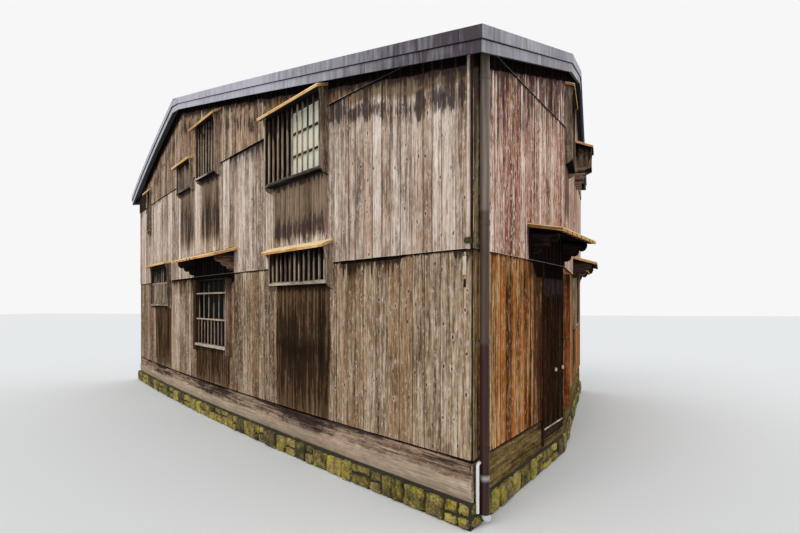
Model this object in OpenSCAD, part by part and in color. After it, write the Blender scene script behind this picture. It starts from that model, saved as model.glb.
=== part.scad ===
/* [Plan] */
// Length of the long wall along its gentle curve
left_length = 12800; // [12000:50:13600]
// Radius of the long wall's curve
curve_radius = 110600; // [90000:100:140000]
// Angle of the long wall from the depth axis at the sharp corner
left_angle = 51.3; // [48:0.1:54]
// Length of the short door face
right_length = 3120; // [3100:10:3300]
// Angle of the door face from the depth axis
right_angle = 23.04; // [21:0.01:25]
// Angle of the lane side beyond the bend from the depth axis
side_angle = 11.56; // [9:0.01:13]

/* [Storeys] */
// Thickness of the walls
wall_t = 140; // [120:5:180]
// Top of the stone footing above the ground
footing_top = 250; // [150:10:300]
// Lower edge of the first course of boards
board_z = 650; // [600:10:700]
// Height of one course of boards
course_h = 2020; // [1980:5:2060]
// How far each course stands proud of the one below
course_step = 14; // [8:1:18]
// Top of the ground floor
ground_floor_z = 460; // [420:5:475]
// Top of the upper floor
upper_floor_z = 3150; // [3050:10:3250]
// Thickness of a floor
floor_t = 120; // [80:5:150]

/* [Roof] */
// Top of the roof over the sharp corner of the walls
roof_corner_z = 4726; // [4650:2:4800]
// Rise of the front slope for each unit of depth
front_pitch = 0.333; // [0.32:0.001:0.345]
// Fall of the back slope for each unit of depth
back_pitch = 0.409; // [0.39:0.001:0.43]
// Depth of the ridge behind the sharp corner
ridge_y = 5420; // [5300:10:5600]
// Upright thickness of the roof
roof_t = 100; // [80:5:110]
// Upright height of one fascia band
band_h = 120; // [110:2:130]
// Overhang over the long wall
left_eave = 180; // [150:5:220]
// Overhang over the door face
right_eave = 215; // [190:5:250]
// Overhang over the lane side
side_eave = 150; // [120:5:190]
// Overhang over the back wall
back_eave = 150; // [120:5:220]

/* [Door] */
// Left side of the doorway along the door face
door_start = 2215; // [2150:5:2240]
// Right side of the doorway
door_end = 3070; // [3050:5:3075]
// Where the wide leaf ends and the narrow one begins
door_seam = 2790; // [2700:5:2830]
// Bottom of the doorway
door_bottom = 485; // [470:5:520]
// Top of the doorway
door_top = 2236; // [2150:5:2300]
// Thickness of a door leaf
leaf_t = 30; // [26:1:34]
// Gap round a leaf
leaf_gap = 5; // [5:1:7]
// Gap between the two leaves
meeting_gap = 10; // [9:1:12]

/* [Windows] */
// Thickness of cheek boards and sills
cheek_t = 34; // [28:2:40]
// Thickness of a hood board
hood_t = 28; // [20:1:32]
// Width of a lattice bar
bar_w = 26; // [20:1:32]

/* [Awnings] */
// How far the awning over the door stands out
door_awning_out = 440; // [380:10:500]
// How far the awning over the tall window stands out
window_awning_out = 430; // [380:10:500]
// Upper face of the awnings over the door and the tall window, at the wall
awning_z = 3104; // [3040:2:3130]
// Fall of an awning from the wall to its front edge
awning_drop = 122; // [100:2:140]
// Fall of the awning over the door
door_awning_drop = 80; // [60:2:100]
// Thickness of an awning's boards
awning_t = 45; // [36:1:50]

/* [Post and pipes] */
// Width of the post at the bend
post_w = 105; // [90:5:120]
// How far the post stands out from the wall
post_out = 95; // [80:5:110]
// Top of the post
post_top = 2565; // [2450:5:2600]
// Radius of the downpipe
pipe_r = 47; // [40:1:50]

/* [Hidden] */
mid_joint = board_z + course_h;
upper_joint = mid_joint + course_h;
curve_cx = cos(left_angle) * curve_radius;
curve_cy = sin(left_angle) * curve_radius;
right_dir = [sin(right_angle), cos(right_angle)];
right_out = [cos(right_angle), -sin(right_angle)];
side_out = [cos(side_angle), -sin(side_angle)];
bend = right_dir * right_length;
side_reach = side_out * bend;
left_end = left_point(left_length, 0);
back_y = left_end[1];
ridge_z = roof_corner_z + front_pitch * ridge_y;
arc_steps = 16;
far = 30000;
wall_in = [-wall_t, -wall_t, -wall_t, -wall_t];
eaves = [left_eave, right_eave, side_eave, back_eave];
roof_gap = 0.5;
fascia_t = 30;
band_step = 16;
far_in = 300;
face_gap = 4;
pipe_out = 74;

// Plan geometry
function heading(s) = left_angle - s / curve_radius * 180 / PI;
function left_point(s, out) =
    [curve_cx, curve_cy] - (curve_radius + out) * [cos(heading(s)), sin(heading(s))];
// Corners of the plan, each with the offsets of the two sides that meet there
function sharp_corner(e) =
    let (away = [curve_cx, curve_cy] - right_out * e[1],
         along = away * right_dir,
         rest = away * away - pow(curve_radius + e[0], 2))
    right_out * e[1] + right_dir * (along - sqrt(along * along - rest));
function bend_corner(e) =
    let (reach = side_reach + e[2],
         det = right_out[0] * side_out[1] - right_out[1] * side_out[0])
    [(e[1] * side_out[1] - right_out[1] * reach) / det,
     (right_out[0] * reach - e[1] * side_out[0]) / det];
function side_corner(e) =
    let (y = back_y + e[3])
    [(side_reach + e[2] - side_out[1] * y) / side_out[0], y];
function far_corner(e) =
    let (y = back_y + e[3])
    [curve_cx - sqrt(pow(curve_radius + e[0], 2) - pow(curve_cy - y, 2)), y];
function arc_angle(p) = atan2(curve_cy - p[1], curve_cx - p[0]);
function arc_points(e) =
    let (a = arc_angle(far_corner(e)), b = arc_angle(sharp_corner(e)))
    [for (i = [0 : arc_steps])
        let (t = a + (b - a) * i / arc_steps)
        [curve_cx, curve_cy] - (curve_radius + e[0]) * [cos(t), sin(t)]];
function outline(e) =
    concat([bend_corner(e), side_corner(e)], arc_points(e));
function reversed(list) = [for (i = [len(list) - 1 : -1 : 0]) list[i]];
function all_round(e) = [e, e, e, e];

// Strips of the plan under each side, between an outer and an inner outline
module left_strip(o, i) {
    polygon(concat(arc_points(o), reversed(arc_points(i))));
}
module right_strip(o, i) {
    polygon([sharp_corner(o), bend_corner(o), bend_corner(i), sharp_corner(i)]);
}
module side_strip(o, i) {
    polygon([bend_corner(o), side_corner(o), side_corner(i), bend_corner(i)]);
}
module lane_strip(o, i) {
    polygon([
        sharp_corner(o), bend_corner(o), side_corner(o),
        side_corner(i), bend_corner(i), sharp_corner(i)
    ]);
}
module back_strip(o, i) {
    polygon([side_corner(o), far_corner(o), far_corner(i), side_corner(i)]);
}

// Roof planes, as profiles across the ridge
function roof_z(y) = y <= ridge_y ? roof_corner_z + front_pitch * y : ridge_z - back_pitch * (y - ridge_y);
module across(profile) {
    translate([-far / 2, 0, 0]) rotate([90, 0, 90]) linear_extrude(far) polygon(profile);
}
function roof_line(drop) = [
    [-2000, roof_z(-2000) - drop],
    [ridge_y, ridge_z - drop],
    [12000, roof_z(12000) - drop]
];
module roof_layer(top_drop, low_drop) {
    across(concat(roof_line(top_drop), reversed(roof_line(low_drop))));
}
module below_roof(drop) {
    across(concat(roof_line(drop), [[12000, -100], [-2000, -100]]));
}

// Local frames: x runs to the right and y into the wall, as seen from outside
module on_left(s) {
    translate(concat(left_point(s, 0), 0)) rotate(heading(s) - 90) children();
}
module on_right(t) {
    translate(concat(right_dir * t, 0)) rotate(90 - right_angle) children();
}
module on_side(t) {
    translate(concat(bend + [sin(side_angle), cos(side_angle)] * t, 0))
        rotate(90 - side_angle) children();
}
module on_back(x) {
    translate([x, back_y, 0]) rotate(180) children();
}

// Windows: [middle, sill, width, height, bars, depth of the box, depth of the hood,
//           top of the hood at the wall, fall of the hood, laps of the hood on the left and right]
wide_window = [3190, 3901, 1543, 985, 11, 135, 205, 4975, 54, 104, 6];
upper_windows = [
    [6565, 4561, 1000, 990, 7, 130, 190, 5673, 96, 255, 60],
    [8034, 4525, 932, 525, 12, 95, 154, 5136, 36, 200, 6],
    [11412, 4045, 280, 975, 3, 70, 108, 5110, 38, 380, 6]
];
lower_windows = [
    [3113, 2432, 1544, 450, 12, 105, 186, 2970, 72, 60, 13],
    [10068, 2120, 1580, 860, 9, 110, 190, 3104, 24, 470, 6]
];
tall_window = [6490, 1370, 1600, 1196, 9];
side_windows = [
    [544, 4269, 900, 1000, 6, 120, 160, 5345, 44, 60, 20],
    [2950, 1750, 1100, 1020, 8, 70, 280, 2842, 80, 0, 0]
];
// Projecting lattice box high on the lane side
bay_window = [2930, 4760, 400, 330, 3, 330, 368, 5246, 135, 80, 40];
function back_window(x, sill) = [x, sill, 1400, 800, 10, 110, 190, sill + 890, 56, 40, 40];
back_windows = [
    back_window(-6200, 3950), back_window(-1400, 3950),
    back_window(-6200, 1700), back_window(-1400, 1700)
];
left_windows = concat([wide_window], upper_windows, lower_windows);
lane_windows = concat(side_windows, [bay_window]);

// Face of the boards at a height on a side wall, and on the back wall
function face_at(z) = z < mid_joint ? 0 : z < upper_joint ? course_step : 2 * course_step;

module window_hole(w) {
    translate([-w[2] / 2 - cheek_t, -far_in, w[1] - cheek_t])
        cube([w[2] + 2 * cheek_t, 2 * far_in, w[3] + 2 * cheek_t]);
}
module left_holes() {
    for (w = concat(left_windows, [tall_window])) on_left(w[0]) window_hole(w);
}
module side_holes() {
    for (w = lane_windows) on_side(w[0]) window_hole(w);
}
module back_holes() {
    for (w = back_windows) on_back(w[0]) window_hole(w);
}

// Where a hood starts, and the height of its under face at a distance out, above the sill
function brow(w) = face_at(w[7]) + face_gap;
function hood_under(w, out) =
    w[7] - w[1] - hood_t - w[8] * (out - brow(w)) / (w[6] - brow(w));
// Outline of a cheek board from the side: a small foot, a straight edge, and a hollow curve out to the hood
cheek_foot = 75;
lip = 16;
function cheek_outline(w) =
    let (h = w[3], box = w[5], foot = face_at(w[1] - cheek_t) + face_gap,
         tip = w[6] - lip, tip_z = hood_under(w, tip) + 2, start = h - min(260, h * 0.55))
    concat(
        [[wall_t, -cheek_t], [-foot, -cheek_t], [-foot, -cheek_t - cheek_foot],
         [-box * 0.7, -cheek_t - cheek_foot * 0.6], [-box, -cheek_t], [-box, start]],
        [for (i = [1 : 5])
            let (a = i * 18)
            [-box - (tip - box) * (1 - cos(a)), start + (tip_z - start) * sin(a)]],
        [[-brow(w), hood_under(w, brow(w)) + 2], [-brow(w), h + cheek_t], [wall_t, h + cheek_t]]
    );
module cheek(w) {
    rotate([90, 0, 90]) linear_extrude(cheek_t) polygon(cheek_outline(w));
}
// Head board that closes the box up to the hood
head_in = 20;
module head(w) {
    h = w[3];
    front = w[5] - head_in;
    rotate([90, 0, 90]) linear_extrude(w[2]) polygon([
        [wall_t, h], [wall_t, h + cheek_t], [-brow(w), h + cheek_t], [-brow(w), hood_under(w, brow(w)) + 2],
        [-front, hood_under(w, front) + 2], [-front, h]
    ]);
}
module hood(w) {
    half = w[2] / 2 + cheek_t;
    top = w[7] - w[1];
    translate([-half - w[9], 0, 0]) rotate([90, 0, 90]) linear_extrude(2 * half + w[9] + w[10]) polygon([
        [-brow(w), top], [-brow(w), top - hood_t], [-w[6], top - hood_t - w[8]], [-w[6], top - w[8]]
    ]);
}
// Box of boards through the wall: cheeks, sill, head and a sloping hood
module window_box(w) {
    half = w[2] / 2;
    translate([0, 0, w[1]]) {
        translate([-half - cheek_t, 0, 0]) cheek(w);
        translate([half, 0, 0]) cheek(w);
        translate([-half, -w[5], -cheek_t]) cube([w[2], w[5] + wall_t, cheek_t]);
        translate([-half, 0, 0]) head(w);
        hood(w);
    }
}
// Stepped bracket under the projecting box
module corbel(w) {
    steps = [[0.66, 0], [0.56, 110], [0.4, 220]];
    foot = face_at(w[1] - cheek_t) + face_gap;
    translate([-cheek_t / 2, 0, w[1] - cheek_t]) for (step = steps)
        translate([0, -foot - (w[5] - foot - 30) * step[0], -step[1] - 111])
            cube([cheek_t, (w[5] - foot - 30) * step[0], 112]);
}
// Upright bars between two rails
rail_h = 22;
fit = 0.5;
module lattice(w) {
    gap = w[2] / w[4];
    out = w[5] - 22;
    translate([0, -out, w[1]]) {
        for (i = [0 : w[4] - 1])
            translate([-w[2] / 2 + gap * (i + 0.5) - bar_w / 2, 0, fit]) cube([bar_w, bar_w, w[3] - 2 * fit]);
        for (z = [fit, w[3] - fit - rail_h])
            translate([-w[2] / 2 + fit, 4, z]) cube([w[2] - 2 * fit, bar_w - 8, rail_h]);
    }
}
pane_in = 70;
pane_t = 4;
module pane(w) {
    translate([-w[2] / 2 + fit, pane_in, w[1] + fit]) cube([w[2] - 2 * fit, pane_t, w[3] - 2 * fit]);
}

// Stone under the walls
stone_out = [45, 10, 0, 30];
stone_in = all_round(-230);
module stone_row() {
    color("darkkhaki") linear_extrude(footing_top) children();
}
module footing_left() {
    stone_row() left_strip(stone_out, stone_in);
}
module footing_lane() {
    stone_row() lane_strip(stone_out, stone_in);
}
module footing_back() {
    stone_row() back_strip(stone_out, stone_in);
}

// Wide boards on the stone
board_in = -14;
module base_board() {
    color("rosybrown") translate([0, 0, footing_top])
        linear_extrude(board_z - footing_top) children();
}
module base_board_left() {
    base_board() left_strip(all_round(board_in), wall_in);
}
module base_board_lane() {
    difference() {
        base_board() lane_strip(all_round(board_in), wall_in);
        doorway_cut(right_length + 2);
    }
}
module base_board_back() {
    base_board() back_strip(all_round(board_in), wall_in);
}

// Courses of boards
module course(number) {
    start = board_z + number * course_h;
    color(number == 1 ? "tan" : "burlywood") intersection() {
        translate([0, 0, start]) linear_extrude(number == 2 ? 2 * course_h : course_h) children();
        below_roof(roof_t);
    }
}
function course_out(number) = all_round(number * course_step);
module left_course(number) {
    difference() {
        course(number) left_strip(course_out(number), wall_in);
        left_holes();
    }
}
module left_wall_lower() { left_course(0); }
module left_wall_middle() { left_course(1); }
module left_wall_upper() { left_course(2); }
frame_w = 36;
module doorway_cut(end) {
    start = door_start - frame_w;
    on_right(start) translate([0, -far_in, door_bottom - frame_w])
        cube([end - start, 2 * far_in, door_top - door_bottom + 2 * frame_w]);
}
module beside_door() {
    on_right(door_start - frame_w) translate([0, -far_in, 0]) cube([right_length, 2 * far_in, mid_joint]);
}
module over_door() {
    on_right(door_start - frame_w) translate([0, -far_in, door_top + frame_w])
        cube([right_length, 2 * far_in, mid_joint]);
}
module right_wall_lower() {
    difference() {
        course(0) right_strip(course_out(0), wall_in);
        beside_door();
    }
}
module door_head_wall() {
    intersection() {
        course(0) right_strip(course_out(0), wall_in);
        over_door();
    }
}
module right_wall_upper() {
    course(1) right_strip(course_out(1), wall_in);
    course(2) right_strip(course_out(2), wall_in);
}
module side_wall_lower() {
    difference() {
        course(0) side_strip(course_out(0), wall_in);
        side_holes();
    }
}
module side_wall_upper() {
    difference() {
        union() {
            course(1) side_strip(course_out(1), wall_in);
            course(2) side_strip(course_out(2), wall_in);
        }
        side_holes();
    }
}
module back_wall_lower() {
    difference() {
        course(0) back_strip(course_out(0), wall_in);
        back_holes();
    }
}
module back_wall_upper() {
    difference() {
        union() {
            course(1) back_strip(course_out(1), wall_in);
            course(2) back_strip(course_out(2), wall_in);
        }
        back_holes();
    }
}

// Floors
module floor_plate(top) {
    color("peru") translate([0, 0, top - floor_t]) linear_extrude(floor_t) polygon(outline(wall_in));
}
module ground_floor() { floor_plate(ground_floor_z); }
module upper_floor() { floor_plate(upper_floor_z); }

// Roof
module slope(from, to) {
    intersection() {
        linear_extrude(far) polygon(outline(eaves - all_round(fascia_t)));
        roof_layer(0, roof_t);
        translate([-far / 2, from, 0]) cube([far, to - from, far]);
    }
}
module roof_front() { color("dimgray") slope(-2000, ridge_y); }
module roof_back() { color("dimgray") slope(ridge_y, 12000); }
module ridge_cap() {
    cap_w = 150;
    cap_t = 14;
    color("gray") intersection() {
        linear_extrude(far) polygon(outline(eaves - all_round(fascia_t)));
        across([
            [ridge_y - cap_w, roof_z(ridge_y - cap_w)],
            [ridge_y, ridge_z],
            [ridge_y + cap_w, roof_z(ridge_y + cap_w)],
            [ridge_y + cap_w, roof_z(ridge_y + cap_w) + cap_t],
            [ridge_y, ridge_z + cap_t],
            [ridge_y - cap_w, roof_z(ridge_y - cap_w) + cap_t]
        ]);
    }
}
// Two bands along a roof edge, the lower one set back
module fascia_edge() {
    color("slategray") {
        intersection() {
            linear_extrude(far) children(0);
            roof_layer(-8, band_h);
        }
        intersection() {
            linear_extrude(far) children(1);
            roof_layer(band_h, 2 * band_h);
        }
    }
}
roof_in = eaves - all_round(fascia_t);
band_out = eaves - all_round(band_step);
module fascia_left() {
    fascia_edge() {
        left_strip(eaves, roof_in);
        left_strip(band_out, roof_in - all_round(20));
    }
}
module fascia_lane() {
    fascia_edge() {
        lane_strip(eaves, roof_in);
        lane_strip(band_out, roof_in - all_round(20));
    }
}
module fascia_back() {
    fascia_edge() {
        back_strip(eaves, roof_in);
        back_strip(band_out, roof_in - all_round(20));
    }
}

// Pipes and posts
pipe_t = 135;
pipe_foot = 120;
pipe_top = 4600;
small_r = 16;
small_t = 40;
small_out = 42;
clear = 0.5;
clip_heights = [720, 1760, 2900, 4300];
band_heights = [1240, 3020];
module downpipe() {
    clip_h = 46;
    color("saddlebrown") on_right(pipe_t) translate([0, -pipe_out, 0]) {
        translate([0, 0, pipe_foot]) cylinder(h = pipe_top - pipe_foot, r = pipe_r, $fn = 32);
        for (z = clip_heights) translate([0, 0, z]) {
            cylinder(h = clip_h, r = pipe_r + 5, $fn = 32);
            translate([-11, 0, 12]) cube([22, pipe_out - face_at(z) - clear, 20]);
        }
        for (z = band_heights) translate([0, 0, z]) cylinder(h = 90, r = pipe_r + 3, $fn = 32);
    }
}
// Thin pipe with an elbow into the downpipe, and the shoe at the downpipe's foot
module white_pipes() {
    bend_r = 30;
    top = 590;
    foot = 150;
    stub = pipe_t - small_t - bend_r - pipe_r;
    color("white") on_right(small_t) translate([0, -small_out, 0]) {
        translate([0, 0, foot]) cylinder(h = top - foot, r = small_r, $fn = 24);
        translate([bend_r, 0, top]) rotate([90, 0, 0]) rotate([0, 0, 90])
            rotate_extrude(angle = 90, $fn = 48) translate([bend_r, 0]) circle(small_r, $fn = 24);
        translate([bend_r - clear, 0, top + bend_r]) rotate([0, 90, 0]) cylinder(h = stub, r = small_r, $fn = 24);
    }
    color("white") on_right(pipe_t) translate([0, -pipe_out, pipe_foot - 0.5]) shoe();
}
// Elbow that turns out to the side, with a collar at its mouth
module shoe() {
    turn = 48;
    tube = 34;
    sweep = 75;
    rotate([90, 0, 0]) translate([turn, 0, 0]) {
        rotate([0, 0, 180]) rotate_extrude(angle = sweep, $fn = 48) translate([turn, 0]) circle(tube, $fn = 24);
        rotate([0, 0, 180 + sweep - 8]) translate([turn, 0, 0]) rotate([-90, 0, 0])
            cylinder(h = 36, r = tube + 5, $fn = 32);
    }
}
// Boards that cover the ends of the planks beside the sharp corner
cover_t = 14;
cover_w = 98;
module cover_board(from, to) {
    on_right(8) translate([0, -face_at(from) - cover_t, from]) cube([cover_w, cover_t - clear, to - from]);
}
module corner_board() {
    color("gray") {
        cover_board(board_z, mid_joint - 2);
        cover_board(mid_joint, 4560);
    }
}
module bend_post() {
    color("sienna") on_side(8) translate([0, -post_out, board_z])
        cube([post_w, post_out - face_gap, post_top - board_z]);
}

// Door
module door_frame() {
    color("saddlebrown") {
        difference() {
            intersection() {
                linear_extrude(far) right_strip(all_round(0), wall_in);
                doorway_cut(right_length + far_in);
            }
            on_right(door_start) translate([0, -far_in, door_bottom])
                cube([door_end - door_start, 2 * far_in, door_top - door_bottom]);
        }
        for (z = hinge_heights) {
            on_right(door_start) knuckles(z, -1, false);
            on_right(door_end) knuckles(z, 1, false);
        }
    }
}
// Hinge: the leaf's knuckle turns between two knuckles on the frame
hinge_r = 8;
hinge_out = 10;
knuckle_h = 34;
plate_w = 30;
plate_t = 3;
sunk = 1;
hinge_heights = [door_bottom + 180, door_top - 260];
module knuckles(z, side, on_leaf) {
    for (k = on_leaf ? [1] : [0, 2]) translate([0, 0, z + k * (knuckle_h + 1)]) {
        translate([0, -hinge_out, 0]) cylinder(h = knuckle_h, r = hinge_r, $fn = 24);
        translate([side > 0 ? clear : -plate_w, -plate_t, 0])
            cube([plate_w - clear, plate_t + sunk, knuckle_h]);
    }
}
module leaf(width) {
    cube([width, leaf_t, door_top - door_bottom - 2 * leaf_gap]);
}
module knob() {
    rotate([90, 0, 0]) {
        translate([0, 0, -sunk]) cylinder(h = 20 + sunk, r = 9, $fn = 24);
        translate([0, 0, 19]) cylinder(h = 18, r = 24, $fn = 32);
    }
}
knob_z = 1240;
knob_left_in = 120;
knob_right_in = 215;
module door_leaf_left() {
    start = door_start + leaf_gap;
    end = door_seam - meeting_gap / 2;
    color("sienna") {
        on_right(start) translate([0, 0, door_bottom + leaf_gap]) leaf(end - start);
        for (z = hinge_heights) on_right(door_start) knuckles(z, 1, true);
    }
    color("white") on_right(door_seam - knob_left_in) translate([0, 0, knob_z]) knob();
}
module door_leaf_right() {
    start = door_seam + meeting_gap / 2;
    end = door_end - leaf_gap;
    color("sienna") {
        on_right(start) translate([0, 0, door_bottom + leaf_gap]) leaf(end - start);
        for (z = hinge_heights) on_right(door_end) knuckles(z, -1, true);
    }
    color("white") on_right(door_seam + knob_right_in) translate([0, 0, knob_z]) knob();
}

// Sloping roof of boards on two brackets
bracket_w = 60;
module awning(width, out, top, fall, bracket_in = 160) {
    back = face_at(top) + face_gap;
    translate([0, 0, top - awning_t]) {
        rotate([90, 0, 90]) linear_extrude(width)
            polygon([[-back, 0], [-out, -fall], [-out, awning_t - fall], [-back, awning_t]]);
        for (x = [bracket_in, width - bracket_in - bracket_w])
            translate([x, 0, 0]) bracket(out, back, fall);
    }
}
// Carved bracket with a stepped nose and a hollow under edge
module bracket(out, back, fall) {
    reach = out - 90;
    nose = -fall * reach / out;
    bow = 170;
    rotate([90, 0, 90]) linear_extrude(bracket_w) polygon(concat(
        [[-back, 2], [-reach, nose + 2], [-reach, nose - 46], [-reach + 50, nose - 62]],
        [for (i = [1 : 5])
            let (a = i * 18)
            [-reach + 50 + (reach - 50 - back - 20) * sin(a), nose - 62 - bow * (1 - cos(a))]],
        [[-back, nose - 62 - bow - 20]]
    ));
}
module door_awning() {
    color("tan") on_right(1515) awning(1725, door_awning_out, awning_z, door_awning_drop);
}
module tall_window_awning() {
    color("tan") on_left(7680) awning(2420, window_awning_out, awning_z, awning_drop);
}
module side_window_awning() {
    color("tan") on_side(2215) awning(1500, door_awning_out, 3010, awning_drop, 60);
}

// Window nodes
module left_window_frames() {
    color("gray") for (w = left_windows) on_left(w[0]) window_box(w);
}
module left_window_lattices() {
    color("silver") {
        for (w = left_windows) on_left(w[0]) lattice(w);
        on_left(lower_windows[1][0]) lower_boards(lower_windows[1]);
    }
}
// Boards and a rail that fill the lower part of the farthest low window
module lower_boards(w) {
    board_top = 495;
    out = w[5] - 22;
    pitch = w[2] / (2 * w[4]);
    translate([0, -out, w[1]]) {
        for (i = [0 : w[4] - 1])
            translate([-w[2] / 2 + pitch * (2 * i + 1) - pitch * 0.82, 8, fit])
                cube([pitch * 1.64, bar_w - 12, board_top]);
        translate([-w[2] / 2 + fit, 2, board_top - rail_h]) cube([w[2] - 2 * fit, bar_w, 2 * rail_h]);
    }
}
shoji_w = wide_window[2] * 2 / 3;
module shoji_frame() {
    w = wide_window;
    span = shoji_w - 2;
    rail = 24;
    pane_h = (w[3] - 4 * rail) / 3;
    color("dimgray") on_left(w[0]) translate([w[2] / 2 - shoji_w + 1, 10, w[1] + fit]) difference() {
        cube([span, 28, w[3] - 2 * fit]);
        for (i = [0 : 2]) translate([rail, -10, rail + i * (pane_h + rail)])
            cube([span - 2 * rail, 50, pane_h]);
    }
}
module shoji_paper() {
    w = wide_window;
    color("white") on_left(w[0]) translate([w[2] / 2 - shoji_w + 1, 40, w[1] + fit])
        cube([shoji_w - 2, 4, w[3] - 2 * fit]);
}
// Square frame with posts that run below the sill, as a shallow bay
module tall_window_frame() {
    w = tall_window;
    post = 120;
    stand = 65;
    sill_out = 80;
    half = w[2] / 2;
    color("gray") on_left(w[0]) translate([0, 0, w[1]]) {
        difference() {
            translate([-half - cheek_t, -stand, -cheek_t])
                cube([w[2] + 2 * cheek_t, stand + wall_t, w[3] + 2 * cheek_t]);
            translate([-half, -far_in, 0]) cube([w[2], 2 * far_in, w[3]]);
        }
        for (x = [-half - cheek_t - post, half + cheek_t])
            translate([x, -stand, -150]) cube([post, stand - face_gap, w[3] + 150 + cheek_t]);
        translate([-half, -sill_out, -50]) cube([w[2], sill_out - face_gap, 50]);
    }
}
module tall_window_lattice() {
    w = tall_window;
    rail_out = 46;
    color("silver") on_left(w[0]) translate([0, 0, w[1]]) {
        for (z = [460, 950]) translate([-w[2] / 2, -rail_out, z]) cube([w[2], 20, 28]);
        for (i = [0 : 2 * w[4] - 1])
            translate([-w[2] / 2 + w[2] / (2 * w[4]) * (i + 0.5) - 9, -rail_out + 10, 0])
                cube([18, 16, 470]);
        for (i = [0 : w[4] - 1])
            translate([-w[2] / 2 + w[2] / w[4] * (i + 0.5) - 9, -rail_out + 10, 460]) cube([18, 16, w[3] - 460]);
    }
}
module side_window_frames() {
    color("gray") {
        for (w = lane_windows) on_side(w[0]) window_box(w);
        for (x = [-150, 150]) on_side(bay_window[0] + x) corbel(bay_window);
    }
}
module side_window_lattices() {
    color("silver") for (w = lane_windows) on_side(w[0]) lattice(w);
}
module back_window_frames() {
    color("gray") for (w = back_windows) on_back(w[0]) window_box(w);
}
module back_window_lattices() {
    color("silver") for (w = back_windows) on_back(w[0]) lattice(w);
}
module window_panes() {
    color("lightblue") {
        for (w = concat(left_windows, [tall_window])) on_left(w[0]) pane(w);
        for (w = lane_windows) on_side(w[0]) pane(w);
        for (w = back_windows) on_back(w[0]) pane(w);
    }
}

footing_left();
footing_lane();
footing_back();
base_board_left();
base_board_lane();
base_board_back();
left_wall_lower();
left_wall_middle();
left_wall_upper();
right_wall_lower();
door_head_wall();
right_wall_upper();
side_wall_lower();
side_wall_upper();
back_wall_lower();
back_wall_upper();
ground_floor();
upper_floor();
roof_front();
roof_back();
ridge_cap();
fascia_left();
fascia_lane();
fascia_back();
downpipe();
white_pipes();
corner_board();
bend_post();
door_frame();
door_leaf_left();
door_leaf_right();
door_awning();
left_window_frames();
left_window_lattices();
shoji_frame();
shoji_paper();
tall_window_frame();
tall_window_lattice();
tall_window_awning();
side_window_frames();
side_window_lattices();
side_window_awning();
back_window_frames();
back_window_lattices();
window_panes();
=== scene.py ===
import math
import random

import bpy
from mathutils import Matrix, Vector, noise


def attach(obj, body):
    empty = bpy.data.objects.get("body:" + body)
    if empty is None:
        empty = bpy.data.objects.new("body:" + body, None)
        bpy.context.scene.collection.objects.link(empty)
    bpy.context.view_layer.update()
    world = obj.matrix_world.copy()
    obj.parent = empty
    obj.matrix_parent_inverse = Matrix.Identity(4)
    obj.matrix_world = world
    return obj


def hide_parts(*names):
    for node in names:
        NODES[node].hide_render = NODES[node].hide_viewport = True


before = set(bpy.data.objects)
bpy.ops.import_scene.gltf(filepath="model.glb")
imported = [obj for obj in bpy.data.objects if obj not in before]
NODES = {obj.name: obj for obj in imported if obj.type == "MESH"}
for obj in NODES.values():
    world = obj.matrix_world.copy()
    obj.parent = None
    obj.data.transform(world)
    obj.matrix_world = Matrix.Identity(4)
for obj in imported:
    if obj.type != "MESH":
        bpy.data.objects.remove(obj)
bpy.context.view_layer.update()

# Plan of the house, in metres and degrees, as in the CAD part
LEFT_ANGLE = math.radians(51.3)
CURVE_R = 110.6
LEFT_LENGTH = 12.8
RIGHT_ANGLE = math.radians(23.04)
RIGHT_LENGTH = 3.12
SIDE_ANGLE = math.radians(11.56)
CURVE_X = math.cos(LEFT_ANGLE) * CURVE_R
CURVE_Y = math.sin(LEFT_ANGLE) * CURVE_R
WALL_T = 0.14

# Heights
FOOTING_TOP = 0.25
BOARD_Z = 0.65
COURSE_H = 2.02
COURSE_STEP = 0.014
COURSE_LAP = 0.004
MID_JOINT = BOARD_Z + COURSE_H
UPPER_JOINT = MID_JOINT + COURSE_H

# Roof
ROOF_CORNER_Z = 4.726
FRONT_PITCH = 0.333
BACK_PITCH = 0.409
RIDGE_Y = 5.42
RIDGE_Z = ROOF_CORNER_Z + FRONT_PITCH * RIDGE_Y
ROOF_T = 0.1
BAND_H = 0.12
LEFT_EAVE = 0.18
RIGHT_EAVE = 0.215
SIDE_EAVE = 0.15
BACK_EAVE = 0.15

# Door
DOOR_START = 2.215
DOOR_END = 3.07
DOOR_SEAM = 2.79
DOOR_BOTTOM = 0.485
DOOR_TOP = 2.236
LEAF_GAP = 0.005
MEETING_GAP = 0.01
FRAME_W = 0.036


# Places on the walls: along the wall, out from its face, and up
def left_place(s, out, z):
    heading = LEFT_ANGLE - s / CURVE_R
    reach = CURVE_R + out
    return Vector((CURVE_X - reach * math.cos(heading), CURVE_Y - reach * math.sin(heading), z))


def on_line(start, angle, t, out, z):
    along = Vector((math.sin(angle), math.cos(angle), 0))
    away = Vector((math.cos(angle), -math.sin(angle), 0))
    return start + along * t + away * out + Vector((0, 0, z))


def right_place(t, out, z):
    return on_line(Vector((0, 0, 0)), RIGHT_ANGLE, t, out, z)


BEND = right_place(RIGHT_LENGTH, 0, 0)


def side_place(t, out, z):
    return on_line(BEND, SIDE_ANGLE, t, out, z)


FAR_CORNER = left_place(LEFT_LENGTH, 0, 0)
BACK_Y = FAR_CORNER.y
SIDE_LENGTH = (BACK_Y - BEND.y) / math.cos(SIDE_ANGLE)
SIDE_CORNER = side_place(SIDE_LENGTH, 0, 0)


def back_place(u, out, z):
    return Vector((u, BACK_Y + out, z))


def free_place(x, y, z):
    return Vector((x, y, z))


LEFT_RUNNING = (left_place, back_place)


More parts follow.
